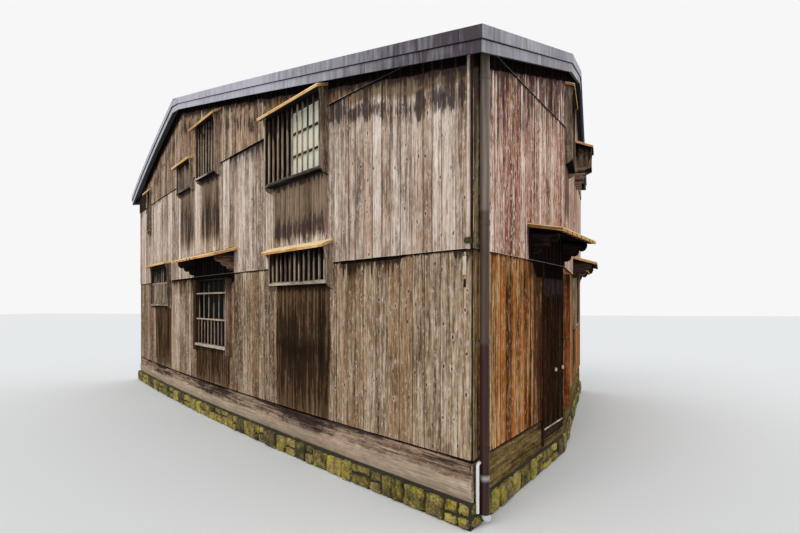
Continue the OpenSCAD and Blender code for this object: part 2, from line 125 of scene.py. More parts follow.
def roof_z(y):
    if y <= RIDGE_Y:
        return ROOF_CORNER_Z + FRONT_PITCH * y
    return RIDGE_Z - BACK_PITCH * (y - RIDGE_Y)


def face_at(z):
    """How far the boards of the course at a height stand out."""
    if z < MID_JOINT:
        return 0.0
    return COURSE_STEP if z < UPPER_JOINT else 2 * COURSE_STEP


# Windows
CHEEK_T = 0.034
HOOD_T = 0.028
BAR_W = 0.021
RAIL_W = 0.022
FACE_GAP = 0.004


class Window:
    """A box window, from measures in millimetres: its middle along the wall, sill, width, height, number of
    bars, depth of box and hood, top and fall of the hood, and the hood's laps past the two cheeks."""

    def __init__(self, middle, sill, width, height, bars, *shape):
        self.middle, self.sill, self.width, self.height = [v / 1000 for v in (middle, sill, width, height)]
        self.box, self.hood, self.top, self.fall, self.left, self.right = [v / 1000 for v in shape]
        self.bars = bars
        self.start, self.end = around(self.middle, self.width)
        self.head = self.sill + self.height
        self.brow = face_at(self.top) + FACE_GAP
        self.hole = (*around(self.middle, self.width + 2 * CHEEK_T), self.sill - CHEEK_T, self.head + CHEEK_T)

    def under(self, out):
        """Height of the hood's under face at a distance out."""
        return self.top - HOOD_T - self.fall * (out - self.brow) / (self.hood - self.brow)


def around(middle, width):
    return (middle - width / 2, middle + width / 2)


WIDE_WINDOW = Window(3190, 3901, 1543, 985, 11, 135, 205, 4975, 54, 104, 6)
TALL_UPPER = Window(6565, 4561, 1000, 990, 7, 130, 190, 5673, 96, 255, 60)
SMALL_UPPER = Window(8034, 4525, 932, 525, 12, 95, 154, 5136, 36, 200, 6)
FAR_UPPER = Window(11412, 4045, 280, 975, 3, 70, 108, 5110, 38, 380, 6)
LOW_WIDE = Window(3113, 2432, 1544, 450, 12, 105, 186, 2970, 72, 60, 13)
FAR_LOWER = Window(10068, 2120, 1580, 860, 9, 110, 190, 3104, 24, 470, 6)
TALL_WINDOW = Window(6490, 1370, 1600, 1196, 9, 65, 65, 2600, 0, 0, 0)
LEFT_WINDOWS = [WIDE_WINDOW, TALL_UPPER, SMALL_UPPER, FAR_UPPER, LOW_WIDE, FAR_LOWER]
BAY_WINDOW = Window(2930, 4760, 400, 330, 3, 330, 368, 5246, 135, 80, 40)
LANE_WINDOWS = [
    Window(544, 4269, 900, 1000, 6, 120, 160, 5345, 44, 60, 20),
    Window(2950, 1750, 1100, 1020, 8, 70, 280, 2842, 80, 0, 0),
    BAY_WINDOW,
]
BACK_WINDOWS = [Window(x, sill, 1400, 800, 10, 110, 190, sill + 890, 56, 40, 40)
                for sill in (3950, 1700) for x in (-6200, -1400)]


# Mesh building
EVEN_SHADE = (0.5, 0.0, 1.0, 0.5)


def flat_noise(x, y, seed=0.0):
    """Smooth noise from 0 to 1."""
    return 0.5 + 0.5 * noise.noise(Vector((x, y, seed)))


def limit(value, low=0.0, high=1.0):
    return max(low, min(high, value))


def stations_between(start, end, step):
    count = max(1, round((end - start) / step))
    return [start + (end - start) * i / count for i in range(count + 1)]


def add_object(name, data):
    made = bpy.data.objects.new(name, data)
    bpy.context.scene.collection.objects.link(made)
    return made


class Pile:
    """Faces on one wall that become one mesh. Each point keeps its place in its own board, then its tone,
    its darkening by stains and painted shade, distance from the board's edge and warmth, and a soil value:
    brown above 0, bleached below."""

    def __init__(self, place):
        self.place = place
        self.points, self.faces, self.grain, self.shade, self.soil = [], [], [], [], []

    def point(self, spot, grain, shade=EVEN_SHADE, soil=0.0):
        """Add a point from its place along the wall, out and up."""
        self.points.append(tuple(self.place(*spot)))
        self.grain += grain
        self.shade += shade
        self.soil.append(soil)
        return len(self.points) - 1

    def tube(self, rows):
        """Join rings of points, with both ends closed."""
        self.faces += [rows[0], rows[-1][::-1]]
        for a, b in zip(rows, rows[1:]):
            for i in range(len(a)):
                j = (i + 1) % len(a)
                self.faces.append((a[j], a[i], b[i], b[j]))

    def prism(self, outline, start, end, seed, dark_stain_and_shade=0.0, along="z"):
        """An outline in (out, up) drawn along the wall from start to end. along names the way the grain
        runs, and the darkening by stains and painted shade is a number or a function of the height."""
        shift = random.Random(seed).uniform(0, 50)
        tone = random.Random(seed * 7 + 1).random()
        rows = []
        for x in (start, end):
            row = []
            for out, up in outline:
                a, b, c = {"z": (x, out, up), "x": (up, out, x), "y": (x, up, out)}[along]
                stain_and_shade = dark_stain_and_shade(up) if callable(dark_stain_and_shade) else dark_stain_and_shade
                row.append(self.point((x, out, up), (a + shift, b, c + shift), (tone, stain_and_shade, 1.0, tone)))
            rows.append(row)
        self.tube(rows)
        return self

    def block(self, x, out, up, seed, dark_stain_and_shade=0.0, along="z"):
        """A straight piece of timber between pairs of limits."""
        outline = [(out[0], up[0]), (out[1], up[0]), (out[1], up[1]), (out[0], up[1])]
        return self.prism(outline, x[0], x[1], seed, dark_stain_and_shade, along)

    def bar(self, x, out, up, seed, dark_stain_and_shade, steps=6):
        """An upright timber whose darkening by stain and painted shade changes with the height."""
        heights = [up[0] + (up[1] - up[0]) * i / steps for i in range(steps + 1)]
        outline = [(out[0], z) for z in heights[::-1]] + [(out[1], z) for z in heights]
        return self.prism(outline, x[0], x[1], seed, dark_stain_and_shade)

    def sweep(self, stations, section_at, shade_at, seed):
        """A closed section in (out, up) carried along the wall, with grain that runs along it."""
        shift = random.Random(seed).uniform(0, 50)
        rows = []
        for x in stations:
            rows.append([self.point((x, out, up), (up + shift, out, x + shift), *shade_at(x, up))
                         for out, up in section_at(x)])
        self.tube(rows)

    def make(self, name, material, slot, body="house", bevel=0.0, thick=0.0, replaces=()):
        mesh = bpy.data.meshes.new(name)
        faces = [f[::-1] for f in self.faces] if self.place in LEFT_RUNNING else self.faces
        mesh.from_pydata(self.points, [], faces)
        for key, kind, field, values in [
            ("grain", "FLOAT_VECTOR", "vector", self.grain),
            ("shade", "FLOAT_COLOR", "color", self.shade),
            ("soil", "FLOAT", "value", self.soil),
        ]:
            mesh.attributes.new(key, kind, "POINT").data.foreach_set(field, values)
        mesh.update()
        mesh.materials.append(material)
        made = add_object(name, mesh)
        if thick:
            solid = made.modifiers.new("thick", "SOLIDIFY")
            solid.thickness = thick
            solid.offset = -1
        if bevel:
            edge = made.modifiers.new("edge", "BEVEL")
            edge.width = bevel
            edge.segments = 2
            edge.limit_method = "ANGLE"
            edge.angle_limit = math.radians(40)
        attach(made, body)
        if replaces:
            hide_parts(*replaces)


# Plank walls
ROW_STEP = 0.09
BOARD_LIP = 0.006
BOARD_T = 0.012
BOARD_GAP = 0.002
PALE_LIP = 0.01
LAP_SHADE = 0.042
EDGE_SHADE = 0.04
WIDE_BOARDS = (0.16, 0.25)
NARROW_BOARDS = (0.13, 0.19)


def plank_edges(start, end, low, high, seed):
    """Places of the joints between boards of uneven width."""
    draw = random.Random(seed)
    edges = [start]
    while edges[-1] < end - high:
        edges.append(edges[-1] + draw.uniform(low, high))
    edges.append(end)
    return edges


def pairs(edges):
    return list(zip(edges, edges[1:]))


def plank(pile, left, right, bottom, top_at, face, holes, stain_and_shade_at, seed):
    """One upright board as a grid of points, with its windows cut out."""
    draw = random.Random(seed)
    tone, warm, shift = draw.random(), draw.random(), draw.uniform(0, 90)
    lean = draw.uniform(-0.0025, 0.0025)
    push = draw.uniform(0.0, 0.004)
    cup = draw.uniform(-0.002, 0.0015)
    bottom += draw.uniform(-0.0015, 0.0015)
    width = right - left
    middle = (left + right) / 2
    columns = [left, left + 0.005, left + 0.03, middle, right - 0.03, right - 0.005, right]
    top = min(top_at(left), top_at(right))
    rows = [bottom, bottom + PALE_LIP]
    while rows[-1] < top - 1.5 * ROW_STEP:
        rows.append(rows[-1] + ROW_STEP)
    rows.append(top - LAP_SHADE)
    near = [h for h in holes if h[0] < right and h[1] > left and h[2] < top_at(middle) and h[3] > bottom]
    for h in near:
        columns += [c for c in h[:2] if left < c < right]
        rows += [c for c in h[2:] if bottom < c < top]
    columns = sorted(set(round(c, 4) for c in columns))
    rows = sorted(set(round(c, 4) for c in rows))
    columns = [c for i, c in enumerate(columns) if i == 0 or c - columns[i - 1] > 0.0008]
    made = {}

    def corner(i, j):
        if (i, j) not in made:
            x = columns[i]
            z = rows[j] if j < len(rows) else top_at(x)
            side = min(x - left, right - x)
            drop = BOARD_LIP * max(0.0, 1 - side / 0.008)
            across = (x - middle) / width
            out = face + BOARD_LIP + push - drop + lean * across * 2 + cup * (1 - 4 * across * across)
            stain_and_shade, soil = stain_and_shade_at(x, z)
            soil = -0.6 if j == 0 and bottom > MID_JOINT - 0.01 else soil
            shade = (tone, stain_and_shade, min(1.0, side / EDGE_SHADE), warm)
            made[(i, j)] = pile.point((x, out, z), (x - left + shift, out, z + shift), shade, soil)
        return made[(i, j)]

    for j in range(len(rows)):
        for i in range(len(columns) - 1):
            x = (columns[i] + columns[i + 1]) / 2
            z = (rows[j] + (rows[j + 1] if j + 1 < len(rows) else top_at(x))) / 2
            if not any(h[0] < x < h[1] and h[2] < z < h[3] for h in near):
                pile.faces.append((corner(i, j), corner(i + 1, j), corner(i + 1, j + 1), corner(i, j + 1)))


def plank_course(name, place, limits, widths, bottom, top_at, face, wall, wood, seed, body="house"):
    """A course of boards side by side. wall holds its windows' holes, its stains and painted shade, and its
    slot.
    """
    holes, stain_and_shade_at, slot = wall
    pile = Pile(place)
    for i, (left, right) in enumerate(pairs(plank_edges(*limits, *widths, seed))):
        plank(pile, left + BOARD_GAP / 2, right - BOARD_GAP / 2, bottom, top_at, face, holes, stain_and_shade_at,
              seed * 1000 + i)
    pile.make(name, wood, slot, body, thick=BOARD_T)


# Node trees
def srgb(colour, factor=1.0):
    """A colour in 0 to 255 steps as the shader's linear colour, made darker or lighter by a factor."""
    def linear(c):
        c /= 255
        return c / 12.92 if c <= 0.04045 else ((c + 0.055) / 1.055) ** 2.4
    return tuple(min(1.0, linear(c) * factor) for c in colour) + (1,)


class Tree:
    """Short ways to add nodes to a material or a world. A colour of three numbers has 0 to 255 steps."""

    def __init__(self, owner):
        self.owner = owner
        owner.use_nodes = True
        owner.node_tree.nodes.clear()

    def node(self, kind, **settings):
        made = self.owner.node_tree.nodes.new(kind)
        for key, value in settings.items():
            setattr(made, key, value)
        return made

    def put(self, socket, value):
        if hasattr(value, "is_output"):
            self.owner.node_tree.links.new(value, socket)
        else:
            socket.default_value = srgb(value) if hasattr(value, "__len__") and len(value) == 3 else value

    def attribute(self, name):
        return self.node("ShaderNodeAttribute", attribute_name=name)

    def object_place(self):
        return self.node("ShaderNodeTexCoord").outputs["Object"]

    def board(self):
        """Place in the board, and the board's tone, its darkening by stains and painted shade, distance from
        the edge and warmth.
        """
        parts = self.node("ShaderNodeSeparateColor")
        shade = self.attribute("shade")
        self.put(parts.inputs["Color"], shade.outputs["Color"])
        return self.attribute("grain").outputs["Vector"], [*parts.outputs, shade.outputs["Alpha"]]

    def scaled(self, vector, scale):
        made = self.node("ShaderNodeMapping")
        self.put(made.inputs["Vector"], vector)
        made.inputs["Scale"].default_value = scale
        return made.outputs["Vector"]

    def split(self, vector):
        made = self.node("ShaderNodeSeparateXYZ")
        self.put(made.inputs[0], vector)
        return made.outputs

    def noise(self, vector, scale, detail=3.0, rough=0.55):
        """Soft noise. A scale of three numbers draws it out."""
        if hasattr(scale, "__len__"):
            vector, scale = self.scaled(vector, scale), 1.0
        made = self.node("ShaderNodeTexNoise")
        for key, value in [("Vector", vector), ("Scale", scale), ("Detail", detail), ("Roughness", rough)]:
            self.put(made.inputs[key], value)
        return made.outputs["Fac"]

    def ramp(self, value, *stops):
        """A ramp of (place, colour) stops, where a colour can be one number."""
        made = self.node("ShaderNodeValToRGB")
        self.put(made.inputs["Fac"], value)
        bar = made.color_ramp
        while len(bar.elements) < len(stops):
            bar.elements.new(0.5)
        for element, (place, colour) in zip(bar.elements, stops):
            element.position = place
            if not hasattr(colour, "__len__"):
                colour = (colour, colour, colour, 1)
            element.color = colour if len(colour) == 4 else srgb(colour)
        return made.outputs["Color"]

    def math(self, operation, a, b, clamp=False):
        made = self.node("ShaderNodeMath", operation=operation, use_clamp=clamp)
        self.put(made.inputs[0], a)
        self.put(made.inputs[1], b)
        return made.outputs[0]

    def times(self, a, b):
        return self.math("MULTIPLY", a, b)

    def plus(self, a, b):
        return self.math("ADD", a, b)

    def total(self, *parts):
        """0.5 plus each value's distance from 0.5, times its weight."""
        made = 0.5 - sum(weight for value, weight in parts) * 0.5
        for value, weight in parts:
            step = self.node("ShaderNodeMath", operation="MULTIPLY_ADD")
            for i, part in enumerate((value, weight, made)):
                self.put(step.inputs[i], part)
            made = step.outputs[0]
        return made

    def lay(self, amount, layer):
        """Lay a colour over the colour so far."""
        made = self.node("ShaderNodeMix", data_type="RGBA")
        for i, value in [(0, amount), (6, self.colour), (7, layer)]:
            self.put(made.inputs[i], value)
        self.colour = made.outputs[2]

    def spots(self, vector, across, along, rare, amount):
        """Distance to the nearest of scattered points on the board's face, which of them count and how
        much, and one more number of each point's own."""
        x, _, z = self.split(self.scaled(vector, (across, 1, along)))
        flat = self.node("ShaderNodeCombineXYZ")
        self.put(flat.inputs[0], x)
        self.put(flat.inputs[1], z)
        cells = self.node("ShaderNodeTexVoronoi", voronoi_dimensions="2D")
        self.put(cells.inputs["Vector"], flat.outputs[0])
        cells.inputs["Scale"].default_value = 1.0
        own = self.node("ShaderNodeSeparateColor")
        self.put(own.inputs[0], cells.outputs["Color"])
        keep = self.times(self.math("GREATER_THAN", own.outputs[0], rare), amount)
        return cells.outputs["Distance"], keep, own.outputs[1]

    def underside(self):
        """1 where a face looks down, 0 elsewhere."""
        up = self.split(self.node("ShaderNodeNewGeometry").outputs["True Normal"])[2]
        return self.ramp(self.times(up, -1.0), (0.3, 0.0), (0.75, 1.0))

    def finish(self, roughness, specular=0.5, height=None, strength=0.0, distance=0.002):
        """The surface with the colour so far and a bump from a height."""
        shader = self.node("ShaderNodeBsdfPrincipled")
        self.put(self.node("ShaderNodeOutputMaterial").inputs["Surface"], shader.outputs["BSDF"])
        self.put(shader.inputs["Base Color"], self.colour)
        shader.inputs["Roughness"].default_value = roughness
        shader.inputs["Specular IOR Level"].default_value = specular
        if height is not None:
            bump = self.node("ShaderNodeBump")
            bump.inputs["Strength"].default_value = strength
            bump.inputs["Distance"].default_value = distance
            self.put(bump.inputs["Height"], height)
            self.put(shader.inputs["Normal"], bump.outputs["Normal"])
        return self.owner


def new_tree(name):
    return Tree(bpy.data.materials.new(name))


def weathered(name, dark, mid, light, warm, warm_amount=0.3, soil=(104, 82, 58), dark_stain_and_shade=(46, 37, 36),
              pale=(222, 212, 200), chips=0.6, knots=0.8, contrast=1.0, solid=False):
    """Old timber: streaks along the grain, tone board by board, knots, pale chips, and dark water stains
    with painted shade laid in the same colours, and painted shade on faces that look down.
    A solid timber has no boards of its own and takes its grain from its place."""
    t = new_tree(name)
    if solid:
        grain = t.object_place()
        tone, own_warm = 0.5, 0.5
    else:
        grain, (tone, stain_and_shade, edge, own_warm) = t.board()
        soiled = t.attribute("soil").outputs["Fac"]
    broad = t.noise(grain, (30, 30, 0.9), 2.0, 0.5)
    fine = t.noise(grain, (95, 95, 3.0), 3.0, 0.6)
    flake = t.noise(grain, (60, 60, 14), 2.0, 0.6)
    patch = t.noise(grain, (3.0, 3.0, 1.1), 2.0, 0.5)
    teeth = t.noise(grain, (19, 19, 1.0), 2.0, 0.6)
    mottle = t.noise(grain, (16, 16, 7), 3.0, 0.6)
    level = t.total((broad, 0.75 * contrast), (fine, 1.1 * contrast), (mottle, 0.55 * contrast), (tone, 0.3),
                    (patch, 0.65 * contrast))
    t.colour = t.ramp(level, (0.08, srgb(dark, 0.6)), (0.32, dark), (0.54, mid), (0.82, light))
    mask = t.total((own_warm, 0.5), (teeth, 1.3), (patch, 0.8))
    t.lay(t.times(t.ramp(mask, (0.45, 0.0), (0.8, 1.0)), warm_amount), warm)
    # Flakes and cracks
    t.lay(t.times(t.ramp(flake, (0.57, 0.0), (0.68, 1.0)), chips), pale)
    t.lay(t.times(t.ramp(flake, (0.3, 1.0), (0.42, 0.0)), 0.55 * contrast), srgb(dark, 0.45))
    # Knots with a pale rim, and chips where the surface has lifted
    wobble = t.times(t.plus(flake, -0.5), 0.17)
    reach, keep, side = t.spots(grain, 6.0, 3.8, 0.45, knots)
    reach = t.plus(reach, wobble)
    rim = t.times(t.ramp(reach, (0.055, 0.0), (0.09, 0.6), (0.16, 0.0)), keep)
    t.lay(t.times(rim, side), pale)
    t.lay(t.times(t.ramp(reach, (0.05, 1.0), (0.085, 0.0)), keep), srgb(dark, 0.3))
    reach, keep, side = t.spots(grain, 9.0, 6.0, 0.55, chips)
    reach = t.plus(reach, t.times(wobble, 4.0))
    t.lay(t.times(t.ramp(reach, (0.05, 1.0), (0.1, 0.0)), keep), pale)
    # Brown soaking, dark water stains laid with painted shade in the same colour, and bleached lips, with
    # edges drawn out by the grain
    if not solid:
        soak_and_shade = t.ramp(t.plus(soiled, t.plus(teeth, -0.5)), (0.2, 0.0), (0.55, 1.0))
        soak_and_shade = t.times(soak_and_shade, t.ramp(soiled, (0.03, 0.0), (0.25, 1.0)))
        t.lay(t.times(soak_and_shade, 0.85), t.ramp(level, (0.2, srgb(soil, 0.45)), (0.8, srgb(soil, 1.5))))
        ragged = t.total((teeth, 1.9), (fine, 0.7), (mottle, 1.1))
        ragged = t.times(t.plus(ragged, -0.5), 1.5)
        soak_and_shade = t.ramp(t.plus(stain_and_shade, ragged), (0.28, 0.0), (0.66, 1.0))
        soak_and_shade = t.times(soak_and_shade, t.ramp(stain_and_shade, (0.02, 0.0), (0.2, 1.0)))
        t.lay(t.times(soak_and_shade, 0.92), t.ramp(level, (0.2, srgb(dark_stain_and_shade, 0.6)), (0.85, srgb(dark_stain_and_shade, 1.9))))
        # Near black for the highest values: painted shadow under eaves, laps, sills and awnings, and the
        # deepest stains
        t.lay(t.times(t.ramp(stain_and_shade, (0.9, 0.0), (1.0, 1.0)), 0.98), (15, 11, 10))
        t.lay(t.times(t.math("MULTIPLY", soiled, -1.0, clamp=True), 0.5), pale)
        joint = t.ramp(edge, (0.0, 0.95), (0.08, 0.6), (0.2, 0.12), (0.7, 0.0))
        t.lay(t.times(joint, t.plus(t.times(own_warm, 0.7), 0.3)), srgb(dark, 0.4))
    # Painted shade: faces that look down are darkened
    t.lay(t.times(t.underside(), 0.93), (24, 22, 25))
    return t.finish(0.9, 0.0, t.total((fine, 1.0), (broad, 0.6), (flake, 0.7)), 0.6, 0.004)


LONG_WALL = weathered(
    "weathered_long_wall", (120, 99, 84), (186, 166, 150), (232, 220, 208), (176, 136, 104), warm_amount=0.35,
    soil=(106, 85, 63), dark_stain_and_shade=(50, 41, 41), chips=0.4, contrast=0.88)
LONG_LOWER = weathered(
    "weathered_long_wall_low", (88, 68, 50), (148, 124, 99), (206, 188, 166), (140, 100, 62), warm_amount=0.4,
    soil=(84, 60, 38), dark_stain_and_shade=(36, 26, 18), chips=0.35, contrast=0.88)
UPPER_WALL = weathered(
    "weathered_high_boards", (98, 78, 62), (156, 132, 110), (212, 194, 174), (158, 110, 70), warm_amount=0.4,
    soil=(118, 88, 58), dark_stain_and_shade=(50, 40, 40), chips=0.3)
LANE_WALL = weathered(
    "weathered_lane_wall", (122, 76, 58), (208, 170, 146), (250, 232, 216), (156, 84, 58), warm_amount=0.6,
    dark_stain_and_shade=(58, 44, 46), chips=0.9, contrast=1.3)
LANE_LOWER = weathered(
    "weathered_lane_lower", (82, 48, 20), (152, 104, 54), (204, 174, 126), (178, 96, 32), warm_amount=0.8,
    dark_stain_and_shade=(50, 28, 18), chips=0.3, knots=0.35, contrast=1.15)
BASE_WOOD = weathered(
    "base_board_wood", (82, 64, 54), (144, 120, 100), (192, 170, 146), (124, 92, 64), pale=(196, 176, 152),
    chips=0.25, knots=0.3, dark_stain_and_shade=(40, 31, 30))
LANE_BASE = weathered(
    "lane_base_wood", (64, 50, 28), (110, 90, 54), (156, 134, 92), (112, 84, 40), pale=(170, 150, 112),
    chips=0.2, knots=0.3)
WINDOW_WOOD = weathered(
    "window_wood", (92, 76, 62), (146, 126, 106), (192, 174, 152), (132, 84, 60), chips=0.25, knots=0.2,
    dark_stain_and_shade=(22, 19, 19))
BAR_WOOD = weathered(
    "bar_wood", (112, 94, 80), (158, 138, 118), (196, 180, 160), (150, 108, 78), chips=0.1, knots=0.0,
    dark_stain_and_shade=(20, 18, 18))
BLEACHED = weathered(
    "bleached_wood", (150, 136, 116), (190, 178, 160), (218, 208, 192), (190, 160, 124), chips=0.2, knots=0.0)
CREAM_WOOD = weathered(
    "cream_board", (206, 172, 118), (238, 214, 168), (250, 238, 208), (232, 186, 116), warm_amount=0.5,
    chips=0.2, knots=0.0, contrast=0.7)
TAN_WOOD = weathered(
    "tan_board_edge", (172, 118, 62), (214, 164, 98), (240, 206, 150), (206, 138, 62), warm_amount=0.6,
    chips=0.1, knots=0.0, contrast=0.8)
# Near-black wood, used as painted shade inside window boxes, under awnings, in slots and in the door's recess
DARK_WOOD = weathered(
    "dark_wood", (26, 20, 17), (46, 35, 29), (74, 58, 47), (60, 38, 26), chips=0.0, knots=0.0)
BRACKET_WOOD = weathered(
    "bracket_wood", (74, 54, 42), (120, 94, 76), (164, 140, 118), (130, 88, 60), chips=0.2, knots=0.0)
DOOR_WOOD = weathered(
    "door_wood", (24, 13, 7), (44, 25, 13), (72, 46, 28), (66, 34, 16), chips=0.03, knots=0.0,
    dark_stain_and_shade=(20, 14, 12))
# Painted shade: the boards over the door, under its awning, are near black
DOOR_HEAD_WOOD = weathered(
    "door_head_wood", (22, 14, 10), (38, 25, 19), (60, 42, 32), (52, 30, 20), chips=0.03, knots=0.0)
POST_WOOD = weathered(
    "post_wood", (78, 36, 18), (132, 72, 38), (176, 112, 68), (150, 72, 30), warm_amount=0.5, chips=0.15,
    knots=0.2)
OLIVE_WOOD = weathered(
    "olive_corner_wood", (74, 62, 40), (124, 108, 76), (172, 156, 122), (140, 112, 58), chips=0.3, knots=0.3)
HIDDEN_WOOD = weathered(
    "shaded_wood", (30, 24, 21), (46, 37, 32), (70, 58, 50), (56, 40, 30), chips=0.0, knots=0.0, solid=True)


# Metal, stone, glass and paper
def plain(name, colour, roughness, spread, scale, specular=0.5):
    """A painted or worn surface with soft patches."""
    t = new_tree(name)
    place = t.object_place()
    t.colour = t.ramp(t.noise(place, scale, 5.0, 0.6), (0.3, srgb(colour, 1 - 2 * spread)),
                      (0.7, srgb(colour, 1 + 2 * spread)))
    return t.finish(roughness, specular, t.noise(place, scale * 12), 0.2)


def sheet_metal(name, low, high, by_board, streak, roughness, under):
    """Old painted sheet: streaks and patches, and painted shade on faces that look down."""
    t = new_tree(name)
    if by_board:
        place, (tone, *_) = t.board()
    else:
        place, tone = t.object_place(), 0.5
    patch = t.noise(place, 1.7, 4.0, 0.6)
    level = t.total((tone, 1.0), (t.noise(place, streak, 3.0, 0.7), 1.3), (patch, 0.7))
    t.colour = t.ramp(level, (0.05, low), (0.95, high))
    # Painted shade in the under colour on faces that look down
    t.lay(t.underside(), under)
    return t.finish(roughness, 0.35, patch, 0.15, 0.01)


def pipe_paint():
    """Grey-brown above the joint, dark red-brown below, and a pale worn patch near the foot."""
    t = new_tree("pipe_paint")
    place = t.object_place()
    lines = t.noise(place, (30, 30, 1.2), 3.0, 0.6)
    height = t.times(t.split(place)[2], 0.2)
    t.colour = t.ramp(lines, (0.3, (42, 25, 24)), (0.7, (74, 46, 41)))
    t.lay(t.ramp(height, (0.347, 0.0), (0.353, 1.0)), t.ramp(lines, (0.3, (64, 49, 42)), (0.7, (98, 80, 70))))
    t.lay(t.ramp(height, (0.604, 0.0), (0.61, 1.0)),
          t.ramp(lines, (0.3, (84, 72, 62)), (0.7, (130, 117, 106))))
    t.lay(t.ramp(height, (0.089, 0.0), (0.091, 0.8), (0.097, 0.8), (0.099, 0.0)), (178, 172, 164))
    return t.finish(0.4, 0.2, lines, 0.1)


def mossy_stone():
    """Rough stone with moss, green and yellow on top and dark in the joints."""
    t = new_tree("mossy_stone")
    grain, (tone, *_) = t.board()
    fine = t.noise(grain, 42.0, 4.0, 0.7)
    level = t.total((t.noise(grain, 9.0, 4.0, 0.65), 1.5), (fine, 1.1), (tone, 0.5))
    t.colour = t.ramp(level, (0.2, (40, 32, 18)), (0.5, (98, 80, 42)), (0.85, (156, 134, 84)))
    cover = t.ramp(t.total((t.noise(grain, 4.0, 3.0, 0.6), 1.8), (fine, 0.7)), (0.32, 0.0), (0.68, 1.0))
    t.lay(cover, t.ramp(level, (0.2, (60, 52, 14)), (0.5, (126, 112, 28)), (0.85, (180, 162, 58))))
    return t.finish(0.95, 0.5, level, 0.8, 0.012)


# The last colour of each sheet is its painted shade on faces that look down
ROOF_METAL = sheet_metal("roof_sheet", (70, 66, 72), (128, 124, 132), False, (14, 1.2, 1.2), 0.5,
                         (16, 19, 27))
FASCIA_METAL = sheet_metal("fascia_sheet", (54, 40, 48), (172, 168, 178), True, (1.5, 1.5, 14), 0.42,
                           (20, 20, 28))
# Near black all over: painted shade for the soffit under the eave
FASCIA_CORE = sheet_metal("fascia_core", (24, 20, 28), (52, 46, 56), False, (8, 8, 1), 0.6, (14, 16, 22))
MOSSY_STONE = mossy_stone()
KNOB_PALE = plain("knob_pale", (196, 186, 172), 0.4, 0.06, 40.0)


# Water stains and painted shade
DARKEST_STAIN_AND_SHADE = 1.4
EAVE_BROWN = 0.36
EAVE_BLACK = 0.41
EAVE_BLACK_SPREAD = 0.12
BRACKET_SHADE = (2.5, 3.06)

# Patches on the long wall: start, end, top, bottom, how much is brown soaking and how much black, and where,
# as a share of the length, the black is deepest, and how far it spreads
LEFT_STAINS = [
    (2.44, 3.95, 3.87, 3.02, 0.8, 1.0, 0.84, 0.2),
    (2.36, 3.86, 2.40, 0.58, 1.1, 0.95, 0.5, 0.42),
    (6.07, 7.06, 4.53, 3.25, 0.62, 0.62, 0.6, 0.3),
    (7.5, 8.5, 4.49, 3.2, 0.6, 0.62, 0.6, 0.36),
    (5.6, 7.42, 1.32, 0.62, 0.9, 0.68, 0.35, 0.6),
    (9.26, 10.86, 2.09, 0.62, 0.85, 0.62, 0.3, 0.6),
    (11.25, 11.6, 4.0, 3.6, 0.5, 0.4, 0.2, 0.6),
]
LAP_STAINS = [
    (7.45, 9.2, MID_JOINT, 2.3, 0.4, 0.5, 0.05, 0.5),
    (0.95, 2.2, MID_JOINT, 2.42, 0.3, 0.62, 0.15, 0.45),
    (4.05, 5.6, UPPER_JOINT, 4.36, 0.3, 0.5, 0.15, 0.4),
]


def patches_at(patches, x, z):
    """How black and how brown a place is, with a band of painted shadow just under each patch's top, below a
    sill or a lap.
    """
    stain_and_shade, soil = 0.0, 0.0
    for start, end, top, bottom, brown, black, deepest, spread in patches:
        if start < x < end and z < top + 0.1:
            u = (top - z) / (top - bottom)
            fade = limit((1.12 - u) / 0.3)
            shade = math.exp(-((u - deepest) / spread) ** 2)
            edge = 0.35 + 0.65 * limit(min(x - start, end - x) / 0.18)
            # The band just under the top is painted shadow
            stain_and_shade = max(stain_and_shade, black * shade * fade * edge, 0.95 if 0 < top - z < 0.07 else 0.0)
            soil = max(soil, brown * fade * (0.4 + 0.6 * edge))
    return stain_and_shade, soil


def below_joint(x, z, seed):
    """Painted shadow: a black line under the lap of the course above; and darkening that runs down from it
    here and there.
    """
    amount = 0.0
    for joint in (MID_JOINT, UPPER_JOINT):
        if z < joint - 0.01 or abs(z - joint - COURSE_LAP) < 0.002:
            amount = max(amount, DARKEST_STAIN_AND_SHADE if z > joint else 0.0)
            wander = flat_noise(x * 1.3, joint, seed)
            amount = max(amount, limit(wander - 0.25) * 1.5 - (joint - z) / (0.05 + 0.3 * wander))
    return amount


def below_eave(place, x, z):
    return roof_z(place(x, 0, 0).y) - 2 * BAND_H - z


